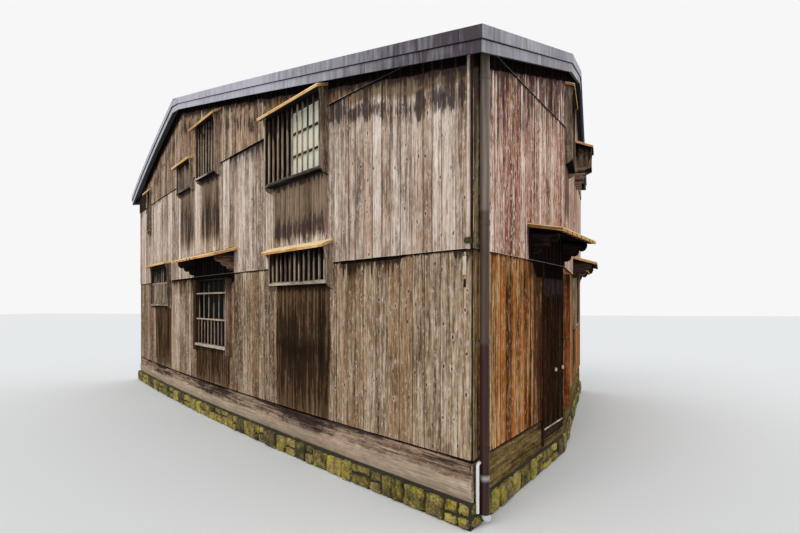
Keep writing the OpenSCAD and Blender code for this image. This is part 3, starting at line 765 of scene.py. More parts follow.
def left_stain_and_shade(x, z):
    """Stains of the long wall under windows and below the laps, and black blotches below a brown eave. A
    near-black band right under the eave is partly painted shadow and partly stain; under the awning the wall
    is painted black as shadow.
    """
    stain_and_shade, soil = patches_at(LEFT_STAINS, x, z)
    if not any(joint - 0.002 < z < joint + 0.12 for joint in (MID_JOINT, UPPER_JOINT)):
        smear, brown = patches_at(LAP_STAINS, x, z)
        stain_and_shade, soil = max(stain_and_shade, smear), max(soil, brown)
    below = below_eave(left_place, x, z)
    weaker = 1 - 0.45 * limit((x - 3.8) / 0.6)
    strength = 0.1 + 0.55 * flat_noise(x * 1.1, 0.4, 3.0) + 0.7 * flat_noise(x * 4.0, 0.8, 5.0)
    wander = 0.3 * (flat_noise(x * 3.1, 0.2, 8.0) - 0.5)
    blotch = weaker * strength * math.exp(-((below - EAVE_BLACK - wander) / EAVE_BLACK_SPREAD) ** 2)
    # Near black right under the eave: partly painted shadow, partly stain
    stain_and_shade = max(stain_and_shade, blotch, 1.75 - (below - 0.2 * wander) / 0.12, below_joint(x, z, 1.0))
    soil = max(soil, 0.75 * limit((EAVE_BROWN * weaker + wander - below) / 0.12))
    # Painted shadow: black under the tall window's awning, between its brackets
    low, high = BRACKET_SHADE
    if 5.42 < x < 7.56 and low < z < high:
        stain_and_shade = DARKEST_STAIN_AND_SHADE
    return min(stain_and_shade, DARKEST_STAIN_AND_SHADE), limit(soil)


def eave_shade(place, x, z):
    below = below_eave(place, x, z)
    return max(0.7 * limit(1 - below), min(1.25, 1.7 - below / 0.14))


def door_side_stain_and_shade(x, z):
    """Painted shade: darker toward the door, and black under its awning."""
    stain_and_shade = max(eave_shade(right_place, x, z), below_joint(x, z, 5.0) - 0.3)
    if z < MID_JOINT:
        stain_and_shade = max(stain_and_shade, 0.8 * limit((x - 1.42) / 0.5))
    if x > 1.5 and 2.2 < z < BRACKET_SHADE[1]:
        spread = 0.1 if z > MID_JOINT else 0.4
        stain_and_shade = max(stain_and_shade, DARKEST_STAIN_AND_SHADE * limit((x - 1.5) / spread) * limit((z - 2.2) / 0.4))
    return min(stain_and_shade, DARKEST_STAIN_AND_SHADE), 0.0


def wall_stain_and_shade(place, windows, seed, weaker):
    """Darkening below the eave, painted shadow under the laps and under each sill, and stains below each
    window of a wall.
    """
    patches = [(w.start, w.end, w.sill - CHEEK_T, w.sill - 0.9, 0.6, 0.5, 0.6, 0.4) for w in windows]

    def dark_stain_and_shade(x, z):
        stain_and_shade, soil = patches_at(patches, x, z)
        return min(max(stain_and_shade, eave_shade(place, x, z), below_joint(x, z, seed) - weaker), DARKEST_STAIN_AND_SHADE), soil
    return dark_stain_and_shade


def flat_top(z):
    return lambda x: z


def course_top(place, joint):
    """Height of the lap at a joint, or of the roof's under face where that is lower."""
    return lambda x: min(joint + COURSE_LAP, roof_z(place(x, 0.03, 0).y) - ROOF_T + 0.004)


def build_walls():
    holes = [w.hole for w in LEFT_WINDOWS + [TALL_WINDOW]]
    long_wall = (left_place, (holes, left_stain_and_shade, "cedar_long_wall"))
    door_side = (right_place, ([], door_side_stain_and_shade, "cedar_lane_wall"))
    holes = [w.hole for w in LANE_WINDOWS]
    lane_side = (side_place, (holes, wall_stain_and_shade(side_place, LANE_WINDOWS, 9.0, 0.2), "cedar_lane_wall"))
    holes = [w.hole for w in BACK_WINDOWS]
    back = (back_place, (holes, wall_stain_and_shade(back_place, BACK_WINDOWS, 13.0, 0.1), "cedar_back_wall"))
    frame_start = DOOR_START - FRAME_W
    lane, behind = (0.0, SIDE_LENGTH), (FAR_CORNER.x, SIDE_CORNER.x)
    courses = [
        ("long_wall_lower", long_wall, (0.0, LEFT_LENGTH), WIDE_BOARDS, BOARD_Z, MID_JOINT, LONG_LOWER),
        ("long_wall_middle", long_wall, (0.0, LEFT_LENGTH), NARROW_BOARDS, MID_JOINT, UPPER_JOINT, LONG_WALL),
        ("long_wall_upper", long_wall, (0.45, LEFT_LENGTH - 0.9), NARROW_BOARDS, UPPER_JOINT, math.inf,
         UPPER_WALL),
        ("door_side_lower", door_side, (0.02, frame_start), (0.1, 0.17), BOARD_Z, MID_JOINT, LANE_LOWER),
        ("door_head", door_side, (frame_start, RIGHT_LENGTH), (0.12, 0.2), DOOR_TOP + FRAME_W, MID_JOINT,
         DOOR_HEAD_WOOD),
        ("door_side_middle", door_side, (0.0, RIGHT_LENGTH), NARROW_BOARDS, MID_JOINT, UPPER_JOINT,
         LANE_WALL),
        ("door_side_upper", door_side, (0.24, RIGHT_LENGTH), NARROW_BOARDS, UPPER_JOINT, math.inf, LANE_WALL),
        ("lane_side_lower", lane_side, lane, WIDE_BOARDS, BOARD_Z, MID_JOINT, LANE_LOWER),
        ("lane_side_middle", lane_side, lane, NARROW_BOARDS, MID_JOINT, UPPER_JOINT, LANE_WALL),
        ("lane_side_upper", lane_side, lane, NARROW_BOARDS, UPPER_JOINT, math.inf, LANE_WALL),
        ("back_lower", back, behind, WIDE_BOARDS, BOARD_Z, MID_JOINT, LONG_LOWER),
        ("back_middle", back, behind, NARROW_BOARDS, MID_JOINT, UPPER_JOINT, LONG_WALL),
        ("back_upper", back, behind, NARROW_BOARDS, UPPER_JOINT, math.inf, LONG_WALL),
    ]
    for number, (name, (place, wall), limits, widths, bottom, joint, wood) in enumerate(courses, 1):
        plank_course(name + "_boards", place, limits, widths, bottom, course_top(place, joint),
                     face_at(bottom + 0.01), wall, wood, number)


# Box windows
CHEEK_FOOT = 0.075
CHEEK_STEPS = 8
EDGE_T = 0.006
EDGE_DROP = 0.014
EDGE_SPLIT = 0.013
WINDOW_PARTS = {
    "boxes": ("window_boxes", WINDOW_WOOD, "window_boards", 0.003, "_window_frames"),
    # Linings in dark wood: painted shade inside the box
    "linings": ("window_linings", DARK_WOOD, "window_boards", 0.0, ""),
    "sills": ("window_sill_edges", BLEACHED, "window_boards", 0.002, ""),
    "hoods": ("window_hoods", CREAM_WOOD, "window_boards", 0.002, ""),
    "edges": ("hood_edges", TAN_WOOD, "window_boards", 0.002, ""),
    "lattices": ("lattices", BAR_WOOD, "lattice_bars", 0.002, "_window_lattices"),
}


def cheek_outline(w):
    """Side of a cheek board: a small foot, a straight edge and a hollow curve out to the hood."""
    bottom, box, tip = w.sill - CHEEK_T, w.box, w.hood - 0.016
    foot = face_at(bottom) + FACE_GAP
    start = w.head - min(0.26, w.height * 0.55)
    points = [(foot, bottom), (foot, bottom - CHEEK_FOOT), (box * 0.7, bottom - CHEEK_FOOT * 0.6),
              (box, bottom), (box, start)]
    for i in range(1, CHEEK_STEPS + 1):
        a = math.radians(90 * i / CHEEK_STEPS)
        points.append((box + (tip - box) * (1 - math.cos(a)), start + (w.under(tip) - start) * math.sin(a)))
    points.append((w.brow, w.under(w.brow)))
    return points


def fade_up(low, high, start, strength):
    """Darkening that grows from a share of the height up to the top; on window parts, brackets and posts it
    is painted shade under a hood or awning.
    """
    return lambda z: strength * limit(((z - low) / (high - low) - start) / (1 - start))


def window_frame(piles, w, seed, laps):
    """Cheeks with linings in dark wood as painted shade, sill, head and hood of one box window."""
    boxes, linings = piles["boxes"], piles["linings"]
    inner, low, high = -WALL_T, w.sill - CHEEK_T, w.head + CHEEK_T
    outline = [(inner, high), (inner, low)] + cheek_outline(w) + [(w.brow, high)]
    # Painted shade: cheeks darken toward the hood, and the bay darkens more
    dark_stain_and_shade = fade_up(w.sill, w.head, 0.4, 1.0) if w is BAY_WINDOW else fade_up(w.sill, w.head, 0.5, 0.15)
    # Sills of the upper windows are darker
    sill_darkening = 0.75 if w.sill > MID_JOINT else 0.15
    for side, near in ((-1, w.start), (1, w.end)):
        boxes.prism(outline, *sorted((near, near + side * CHEEK_T)), seed + side, dark_stain_and_shade)
        linings.block(sorted((near, near - side * 0.004)), (inner, w.box - 0.008), (w.sill, w.head),
                      seed + side + 10)
    across = (w.start, w.end)
    boxes.block(across, (inner, w.box - 0.002), (low, w.sill), seed + 3, sill_darkening, "x")
    piles["sills"].block(across, (w.box - 0.02, w.box + 0.004), (low + 0.004, w.sill + 0.003), seed + 7,
                         sill_darkening, "x")
    front = w.box - 0.02
    head = [(inner, w.head), (front, w.head), (front, w.under(front)), (w.brow, w.under(w.brow)),
            (w.brow, high), (inner, high)]
    # The head lining is darkened further: painted shade under the hood
    linings.prism(head, w.start, w.end, seed + 4, 0.9, "x")
    window_hood(piles["hoods"], piles["edges"], w, seed, w.hole[0] - laps[0], w.hole[1] + laps[1])


def window_hood(hoods, edges, w, seed, start, end):
    """Sloping board with a pale upper edge and an orange lower one, on its front and its two ends."""
    tip = w.hood - EDGE_T
    fall = w.fall * (tip - w.brow) / (w.hood - w.brow)

    def band(above, below):
        return [(w.brow, w.top - below), (tip, w.top - fall - below), (tip, w.top - fall - above),
                (w.brow, w.top - above)]

    low = HOOD_T + EDGE_DROP
    hoods.prism(band(0.0, HOOD_T), start + EDGE_T, end - EDGE_T, seed + 5, 0.0, "y")
    for x in (start, end - EDGE_T):
        hoods.prism(band(0.0, EDGE_SPLIT), x, x + EDGE_T, seed + 8, 0.0, "y")
        edges.prism(band(EDGE_SPLIT, low), x, x + EDGE_T, seed + 9, 0.0, "y")
    high = w.top - w.fall
    hoods.block((start, end), (tip, w.hood), (high - EDGE_SPLIT, high + 0.002), seed + 6, 0.0, "x")
    edges.block((start, end), (tip, w.hood - 0.001), (high - low, high - EDGE_SPLIT), seed + 6, 0.0, "x")


def lattice(pile, w, seed):
    """Upright bars between two rails, darkened under the hood as painted shade."""
    gap = w.width / w.bars
    out = w.box - RAIL_W
    draw = random.Random(seed)
    dark_stain_and_shade = fade_up(w.sill, w.head, 0.5, 1.0)
    for i in range(w.bars):
        push = draw.uniform(-0.003, 0.003)
        pile.bar(around(w.start + gap * (i + 0.5), BAR_W), (out - BAR_W + push, out + push), (w.sill, w.head),
                 seed + i, dark_stain_and_shade)
    for z, stain_and_shade in ((w.sill, 0.2), (w.head - RAIL_W, 1.0)):
        pile.block((w.start, w.end), (out - BAR_W + 0.004, out - 0.004), (z, z + RAIL_W), seed + 40, stain_and_shade, "x")


def corbels(pile, w):
    """Stepped brackets under the bay."""
    low = w.sill - CHEEK_T
    foot = face_at(low) + FACE_GAP
    reach = w.box - foot - 0.03
    for x in (w.middle - 0.15, w.middle + 0.15):
        for share, drop in ((0.66, 0), (0.56, 0.11), (0.4, 0.22)):
            pile.block(around(x, 0.034), (foot, foot + reach * share), (low - drop - 0.111, low - drop), 900,
                       0.2, "y")


def lower_boards(pile, w):
    """Boards and a rail in the lower part of the farthest low window."""
    pitch = w.width / (2 * w.bars)
    out = w.box - RAIL_W
    top = w.sill + 0.495
    for i in range(w.bars):
        pile.block(around(w.start + pitch * (2 * i + 1), 1.64 * pitch), (out - 0.022, out - 0.008),
                   (w.sill, top), 950 + i, 0.25)
    pile.block((w.start, w.end), (out - BAR_W, out - 0.002), (top - RAIL_W, top + RAIL_W), 970, 0.0, "x")


def build_windows():
    for name, place, windows, node in [
        ("long_wall_", left_place, LEFT_WINDOWS, "left"),
        ("lane_side_", side_place, LANE_WINDOWS, "side"),
        ("back_wall_", back_place, BACK_WINDOWS, "back"),
    ]:
        piles = {key: Pile(place) for key in WINDOW_PARTS}
        for i, w in enumerate(windows):
            laps = (w.right, w.left) if place in LEFT_RUNNING else (w.left, w.right)
            window_frame(piles, w, 300 + 20 * i, laps)
            lattice(piles["lattices"], w, 700 + 50 * i)
        if place is side_place:
            corbels(piles["boxes"], BAY_WINDOW)
        if place is left_place:
            lower_boards(piles["lattices"], FAR_LOWER)
        for key, (part, wood, slot, bevel, stood_for) in WINDOW_PARTS.items():
            replaces = [node + stood_for] if stood_for else []
            piles[key].make(name + part, wood, slot, bevel=bevel, replaces=replaces)


# The tall window low on the long wall
POST_T = 0.12
POST_STAND = 0.065
POST_FOOT = 0.15
THIN_BAR = 0.018
LOWER_H = 0.46
UPPER_BARS = 6


def build_tall_window():
    w = TALL_WINDOW
    frames, darks, sills, bars = [Pile(left_place) for _ in range(4)]
    low, high, inner = w.sill - POST_FOOT, w.head + CHEEK_T, w.sill - CHEEK_T
    # Near post darkened toward the top: painted shade under the awning
    frames.bar((w.hole[0] - POST_T, w.start), (FACE_GAP, POST_STAND), (low, high), 61,
               fade_up(low, w.head, 0.75, 1.0))
    # Dark wood for the far post, the inner cheeks, the head and the piece under the sill; in the cheeks and
    # head it is painted shade
    darks.bar((w.end, w.hole[1] + POST_T), (FACE_GAP, POST_STAND), (low, high), 62, 0.0)
    for x in (w.hole[0], w.end):
        darks.block((x + 0.002, x + CHEEK_T - 0.002), (-WALL_T, FACE_GAP), (inner, w.head), 63)
    across = (w.start, w.end)
    darks.block(across, (-WALL_T, POST_STAND), (w.head, high), 64, 0.0, "x")
    darks.block(across, (-WALL_T, FACE_GAP), (inner, w.sill), 65, 0.0, "x")
    sills.block(across, (FACE_GAP, 0.08), (w.sill - 0.05, w.sill), 66, 0.0, "x")
    sills.block((w.start - 0.012, w.start), (POST_STAND - 0.004, POST_STAND + 0.003),
                (low + 0.02, w.head - 0.2), 67)
    rail = 0.046
    middle = w.sill + LOWER_H
    # Bars darken toward the top: painted shade under the awning
    for count, bottom, top, seed, dark_stain_and_shade in [
        (w.bars, w.sill, middle + 0.01, 640, fade_up(w.sill, middle + 0.01, 0.9, 0.3)),
        (UPPER_BARS, middle, w.head, 670, fade_up(w.sill, w.head, 0.55, 0.95)),
    ]:
        for i in range(count):
            bars.bar(around(w.start + w.width / count * (i + 0.5), THIN_BAR), (rail - 0.026, rail - 0.01),
                     (bottom, top), seed + i, dark_stain_and_shade)
    for z in (middle, w.sill + 0.95):
        bars.block(across, (rail - 0.02, rail), (z, z + 0.028), 690, 0.0, "x")
    frames.make("tall_window_near_post", BRACKET_WOOD, "window_boards", bevel=0.004,
                replaces=["tall_window_frame"])
    darks.make("tall_window_dark_frame", DARK_WOOD, "window_boards", bevel=0.002)
    sills.make("tall_window_sill", BLEACHED, "window_boards", bevel=0.003)
    bars.make("tall_window_bars", BAR_WOOD, "lattice_bars", bevel=0.001, replaces=["tall_window_lattice"])


# Awnings of boards on carved brackets
AWNING_T = 0.045
BATTEN = 0.2
TEETH_GAP = 0.07
BRACKET_W = 0.06
BRACKET_H = 0.25


def bracket_outline(back, out, top, fall):
    """Side of a bracket: a flat top, a blunt nose and three hollow lobes down to the wall."""
    reach = out - 0.09
    nose = top - fall * (reach - back) / (out - back)
    points = [(back, top), (reach, nose), (reach, nose - 0.05)]
    first, last = (reach, nose - 0.05), (back + 0.015, nose - BRACKET_H)
    lobes, steps = 3, 5
    for k in range(lobes):
        for i in range(1, steps + 1):
            t = (k + i / steps) / lobes
            bulge = 0.03 * math.sin(math.pi * i / steps) - (0.012 if i == steps and k < lobes - 1 else 0.0)
            points.append((first[0] + (last[0] - first[0]) * t + bulge * 0.45,
                           first[1] + (last[1] - first[1]) * t - bulge * 0.9))
    points.append((back, nose - BRACKET_H))
    return points


def awning(name, place, start, end, out, top, fall, brackets, teeth_start, near_wood, seed):
    """Boards down the slope over battens, whose ends show as teeth past a place, and a soffit in dark wood as
    painted shade.
    """
    back = face_at(top) + FACE_GAP
    boards, battens, soffit, near, far = [Pile(place) for _ in range(5)]

    def layer(pile, x, reach, above, below, number):
        z = top - fall * (reach - back) / (out - back)
        outline = [(back, top - below), (reach, z - below), (reach, z - above), (back, top - above)]
        pile.prism(outline, x[0], x[1], number, 0.0, "y")

    draw = random.Random(seed)
    for i, (left, right) in enumerate(pairs(plank_edges(start, end, 0.1, 0.16, seed))):
        drop = draw.uniform(0.0, 0.0015)
        layer(boards, (left + 0.0006, right - 0.0006), out - draw.uniform(0.0, 0.003), drop, 0.016, seed + i)
    count = int((end - start) / BATTEN)
    step = (end - start) / count
    for i in range(count):
        middle = start + step * (i + 0.5)
        gap = TEETH_GAP if middle > teeth_start else 0.001
        layer(battens, around(middle, step - gap), out - 0.002, 0.0165, 0.046, seed + 50 + i)
    layer(soffit, (start + 0.01, end - 0.01), out - 0.07, 0.0465, AWNING_T + 0.006, seed + 90)
    outline = bracket_outline(back, out, top - AWNING_T - 0.004, fall)
    for pile, x in zip((near, far), brackets):
        # Brackets darken toward the awning: painted shade
        pile.prism(outline, x, x + BRACKET_W, seed + 95, fade_up(top - 0.34, top - 0.1, 0.35, 1.2), "y")
    boards.make(name + "_boards", CREAM_WOOD, "awning_boards", bevel=0.002, replaces=[name])
    battens.make(name + "_battens", TAN_WOOD, "awning_boards", bevel=0.001)
    # Soffit in dark wood: painted shade under the awning
    soffit.make(name + "_soffit", DARK_WOOD, "awning_boards")
    near.make(name + "_near_bracket", near_wood, "awning_boards", bevel=0.004)
    # Far bracket in dark wood: painted shade
    far.make(name + "_far_bracket", DARK_WOOD, "awning_boards", bevel=0.004)


def build_awnings():
    def ends(start, end, inset):
        return (start + inset, end - inset - BRACKET_W)

    start, end = 1.515, 3.24
    # The door's and the side window's near brackets are in dark wood as painted shade
    awning("door_awning", right_place, start, end, 0.44, 3.104, 0.08, ends(start, end, 0.16)[::-1],
           start + 0.05, DARK_WOOD, 1100)
    start, end = 5.26, 7.68
    awning("tall_window_awning", left_place, start, end, 0.43, 3.104, 0.122, ends(start, end, 0.16),
           6.18, BRACKET_WOOD, 1200)
    start, end = 2.215, 3.715
    awning("side_window_awning", side_place, start, end, 0.44, 3.01, 0.122, ends(start, end, 0.06),
           end, DARK_WOOD, 1300)


# Long pieces that follow an eave
SHEET_T = 0.003
SEAM = 0.003
BAND_STEP = 0.016
MAX_SEAMS = 20


def meeting(place, out, inside, outside, beyond):
    """Where an offset line along one side passes another side's offset line."""
    for _ in range(40):
        middle = (inside + outside) / 2
        if beyond(place(middle, out, 0)):
            outside = middle
        else:
            inside = middle
    return inside


def eave_limits(left, right, side, back):
    """Where the four offset sides end, for offsets in the order long wall, door face, lane side, back."""
    def away(angle):
        return Vector((math.cos(angle), -math.sin(angle), 0))

    past = {
        "left": lambda p: (p - Vector((CURVE_X, CURVE_Y, 0))).length > CURVE_R + left,
        "right": lambda p: p.dot(away(RIGHT_ANGLE)) > right,
        "side": lambda p: (p - BEND).dot(away(SIDE_ANGLE)) > side,
        "back": lambda p: p.y > BACK_Y + back,
    }
    lines = {
        "left": (left_place, left, (0.5, -1.0, "right"), (LEFT_LENGTH - 1, LEFT_LENGTH + 1, "back")),
        "right": (right_place, right, (0.5, -1.0, "left"), (RIGHT_LENGTH - 1, RIGHT_LENGTH + 1, "side")),
        "side": (side_place, side, (1.0, -1.0, "right"), (SIDE_LENGTH - 1, SIDE_LENGTH + 1, "back")),
        "back": (back_place, back, (0.0, FAR_CORNER.x - 1, "left"), (0.0, SIDE_CORNER.x + 1, "side")),
    }
    return {name: [meeting(place, out, inside, outside, past[other]) for inside, outside, other in ends]
            for name, (place, out, *ends) in lines.items()}


def fascia_band(pile, limits, out, above, below, seams, tone_and_reflection_at, seed):
    """One band of sheet along an eave, in panels with dark seams and a small turned edge."""
    draw = random.Random(seed)
    start, end = limits
    first, pitch = seams
    places = [start + first + pitch * k for k in range(MAX_SEAMS)]
    edges = [start] + [x for x in places if start + 0.1 < x < end - 0.1] + [end]

    def section_at(x):
        high = roof_z(pile.place(x, out, 0).y)
        low = high - below
        return [(out, high - above), (out - SHEET_T, high - above), (out - SHEET_T, low),
                (out + SHEET_T, low), (out + SHEET_T, low + 0.006), (out, low + 0.008)]

    for i, (left, right) in enumerate(pairs(edges)):
        own = draw.uniform(-0.08, 0.08)
        pile.sweep(stations_between(left + SEAM, right - SEAM, 0.4), section_at,
                   lambda x, up: ((limit(tone_and_reflection_at(x) + own), 0.0, 1.0, 0.0), 0.0), seed + i)


def build_fascia():
    """Two bands along each side: an upper one at the edge of the roof and a lower one set back."""
    sides = [
        # Lighter toward the ridge on the long wall: painted reflection of the sky at a grazing angle
        ("left", left_place, LEFT_EAVE, lambda x: limit(x / 4.2) * 0.9),
        ("right", right_place, RIGHT_EAVE, lambda x: 0.55),
        ("side", side_place, SIDE_EAVE, lambda x: 0.6),
        ("back", back_place, BACK_EAVE, lambda x: 0.6),
    ]
    bands = [
        (0.0, -0.01, BAND_H - 0.004, (0.28, 0.9)),
        (BAND_STEP, BAND_H + 0.006, 2 * BAND_H, (0.75, 0.95)),
    ]
    for number, (side, place, eave, tone_and_reflection_at) in enumerate(sides):
        pile = Pile(place)
        for k, (back_by, above, below, seams) in enumerate(bands):
            limits = eave_limits(*[each[2] - back_by + SHEET_T for each in sides])[side]
            fascia_band(pile, limits, eave - back_by + SHEET_T, above, below, seams, tone_and_reflection_at,
                        1400 + 40 * number + 20 * k)
        pile.make("fascia_sheets_" + side, FASCIA_METAL, "fascia_metal")


# Roof sheets: low ribs down both slopes
RIB_PITCH = 0.455
RIB_W = 0.03
RIB_H = 0.012
ROOF_INSET = 0.028


def roof_span(x, outline):
    """Front and back limits of the roof at a place across it."""
    cuts = []
    for a, b in zip(outline, outline[1:] + outline[:1]):
        if (a.x - x) * (b.x - x) < 0:
            cuts.append(a.y + (b.y - a.y) * (x - a.x) / (b.x - a.x))
    return (min(cuts), max(cuts)) if len(cuts) > 1 else None


def rib_strip(pile, x, start, end):
    section = ((-1, -0.004), (-0.6, RIB_H), (0.6, RIB_H), (1, -0.004))
    pile.tube([[pile.point((x + side * RIB_W / 2, y, roof_z(y) + up), (x, up, y)) for side, up in section]
               for y in (end, start)])


def build_roof():
    left, right, side, back = [e - ROOF_INSET for e in (LEFT_EAVE, RIGHT_EAVE, SIDE_EAVE, BACK_EAVE)]
    limits = eave_limits(left, right, side, back)
    outline = [left_place(s, left, 0) for s in stations_between(*limits["left"], 0.5)]
    outline += [side_place(t, side, 0) for t in limits["side"][::-1]]
    pile = Pile(free_place)
    low = min(p.x for p in outline)
    high = max(p.x for p in outline)
    for i in range(int((high - low) / RIB_PITCH)):
        x = low + RIB_PITCH * (i + 0.7)
        span = roof_span(x, outline)
        if not span or span[1] - span[0] < 0.3:
            continue
        if span[0] < RIDGE_Y - 0.2:
            rib_strip(pile, x, span[0], min(span[1], RIDGE_Y - 0.15))
        if span[1] > RIDGE_Y + 0.2:
            rib_strip(pile, x, max(span[0], RIDGE_Y + 0.15), span[1])
    pile.make("roof_ribs", ROOF_METAL, "roof_metal", bevel=0.002)


# Wide boards on the stone, worn and bulging below
BASE_ROWS = 8


def base_strip(pile, start, end, high, bulge, seed):
    """Boards from the stone up to a height, bleached low down where they bulge, with a painted shadow along
    the top under the boards above.
    """
    low = FOOTING_TOP
    heights = [low + (high - low) * i / BASE_ROWS for i in range(BASE_ROWS + 1)]

    def front(x, z):
        u = (z - low) / (high - low)
        swell = math.exp(-((u - 0.3) / 0.26) ** 2)
        rough = 0.008 * (flat_noise(x * 2.2, z * 14, seed) - 0.5)
        edge = -0.012 + 0.014 * (u > 0.95)
        return edge + bulge * swell * (0.75 + 0.5 * flat_noise(x * 0.9, 0.3)) + rough

    def section_at(x):
        return [(front(x, z), z) for z in heights] + [(-0.03, high), (-0.03, low)]

    def shade_at(x, z):
        u = (z - low) / (high - low)
        ragged = 0.16 * (flat_noise(x * 5.0, 0.7, seed) - 0.5) + 0.1 * (flat_noise(x * 21.0, 0.1, seed) - 0.5)
        soil = -0.85 * limit((0.52 + ragged - u) / 0.08) if bulge > 0.01 else 0.0
        blotch = 0.5 * limit((u - 0.6 - ragged) / 0.2) * flat_noise(x * 1.9, 0.4, seed + 2)
        # Painted shadow: near black along the top, under the boards above
        stain_and_shade = max(1.3 * limit((u - 0.86) / 0.12), blotch)
        for first, last, _, bottom, *_ in (LEFT_STAINS if pile.place is left_place else []):
            if bottom < 0.7:
                inside = limit((min(x - first, last - x) + 0.25) / 0.5)
                stain_and_shade = max(stain_and_shade, 0.75 * inside * limit((u - 0.35 - ragged) / 0.2))
        return (0.5, stain_and_shade, 1.0, 0.4), soil

    for i, (left, right) in enumerate(pairs(plank_edges(start, end, 2.2, 3.6, seed))):
        pile.sweep(stations_between(left + 0.001, right - 0.001, 0.06), section_at, shade_at, seed + i)


def build_base_boards():
    left = Pile(left_place)
    base_strip(left, 0.0, LEFT_LENGTH, BOARD_Z, 0.03, 1500)
    left.make("long_base_boards", BASE_WOOD, "base_boards", replaces=["base_board_left"])
    lane = Pile(right_place)
    base_strip(lane, 0.015, DOOR_START - FRAME_W, BOARD_Z, 0.004, 1520)
    base_strip(lane, DOOR_START - FRAME_W, RIGHT_LENGTH - 0.002, DOOR_BOTTOM - 0.1, 0.004, 1530)
    lane.place = side_place
    base_strip(lane, 0.002, SIDE_LENGTH - 0.02, BOARD_Z, 0.004, 1540)
    lane.make("lane_base_boards", LANE_BASE, "base_boards")
    back = Pile(back_place)
    base_strip(back, FAR_CORNER.x + 0.02, SIDE_CORNER.x - 0.02, BOARD_Z, 0.012, 1560)
    back.make("back_base_boards", BASE_WOOD, "base_boards")


# Mossy stones under the walls
STONE_GAP = 0.006
STONE_BACK = -0.1
STONE_GRID = (5, 3, 4)


def stone(pile, x, out, up, seed):
    """One rough block: a grid on each face, its corners rounded off and its faces uneven."""
    draw = random.Random(seed)
    tone = draw.random()
    limits = (x, (STONE_BACK, out), up)
    shift = draw.uniform(0, 40)
    made = {}

    def corner(key):
        if key in made:
            return made[key]
        share = [2.0 * k / n - 1 for k, n in zip(key, STONE_GRID)]
        spot = []
        for a, (low, high) in enumerate(limits):
            farthest = max(abs(share[b]) for b in range(3) if b != a)
            size = (high - low) / 2
            pull = min(0.02, size * 0.45) * max(0.0, farthest ** 3 - 0.15)
            field = Vector((key[0] * 0.7 + shift, key[1] * 0.9 + a * 9, key[2] * 0.8 + seed))
            spot.append((low + high) / 2 + share[a] * (size - pull) + 0.018 * noise.noise(field))
        spot[1] = min(spot[1], out)
        spot[2] = max(spot[2], 0.0)
        grain = (spot[0] + shift, spot[1], spot[2] + shift)
        made[key] = pile.point(spot, grain, (tone, 0.0, 1.0, tone))
        return made[key]

    for axis in range(3):
        b, c = [k for k in range(3) if k != axis]
        for level in (0, STONE_GRID[axis]):
            for i in range(STONE_GRID[b]):
                for j in range(STONE_GRID[c]):
                    keys = []
                    for di, dj in ((0, 0), (1, 0), (1, 1), (0, 1)):
                        key = [0, 0, 0]
                        key[axis], key[b], key[c] = level, i + di, j + dj
                        keys.append(corner(tuple(key)))
                    positive = (level > 0) == (axis != 1)
                    pile.faces.append(keys if positive else keys[::-1])


def stone_row(name, place, start, end, out, seed):
    """Stones side by side, about half of them in two layers."""
    pile = Pile(place)
    draw = random.Random(seed)
    half = STONE_GAP / 2
    for i, (left, right) in enumerate(pairs(plank_edges(start, end, 0.15, 0.42, seed))):
        limits = (left + half, right - half)
        front = out + draw.uniform(-0.012, 0.008)
        number = seed * 1000 + i
        if draw.random() < 0.5:
            split = FOOTING_TOP * draw.uniform(0.35, 0.65)
            stone(pile, limits, front, (0.0, split - half), number)
            stone(pile, limits, front - draw.uniform(0.0, 0.02), (split + half, FOOTING_TOP - 0.004),
                  number + 500)
        else:
            stone(pile, limits, front, (0.0, FOOTING_TOP - draw.uniform(0.0, 0.02)), number)
    pile.make(name, MOSSY_STONE, "footing_stone")


def build_stones():
    stone_row("long_wall_stones", left_place, -0.02, LEFT_LENGTH + 0.02, 0.094, 31)
    stone_row("door_side_stones", right_place, 0.03, RIGHT_LENGTH, 0.05, 32)
    stone_row("lane_side_stones", side_place, 0.0, SIDE_LENGTH, 0.045, 33)
    stone_row("back_wall_stones", back_place, FAR_CORNER.x, SIDE_CORNER.x, 0.078, 34)


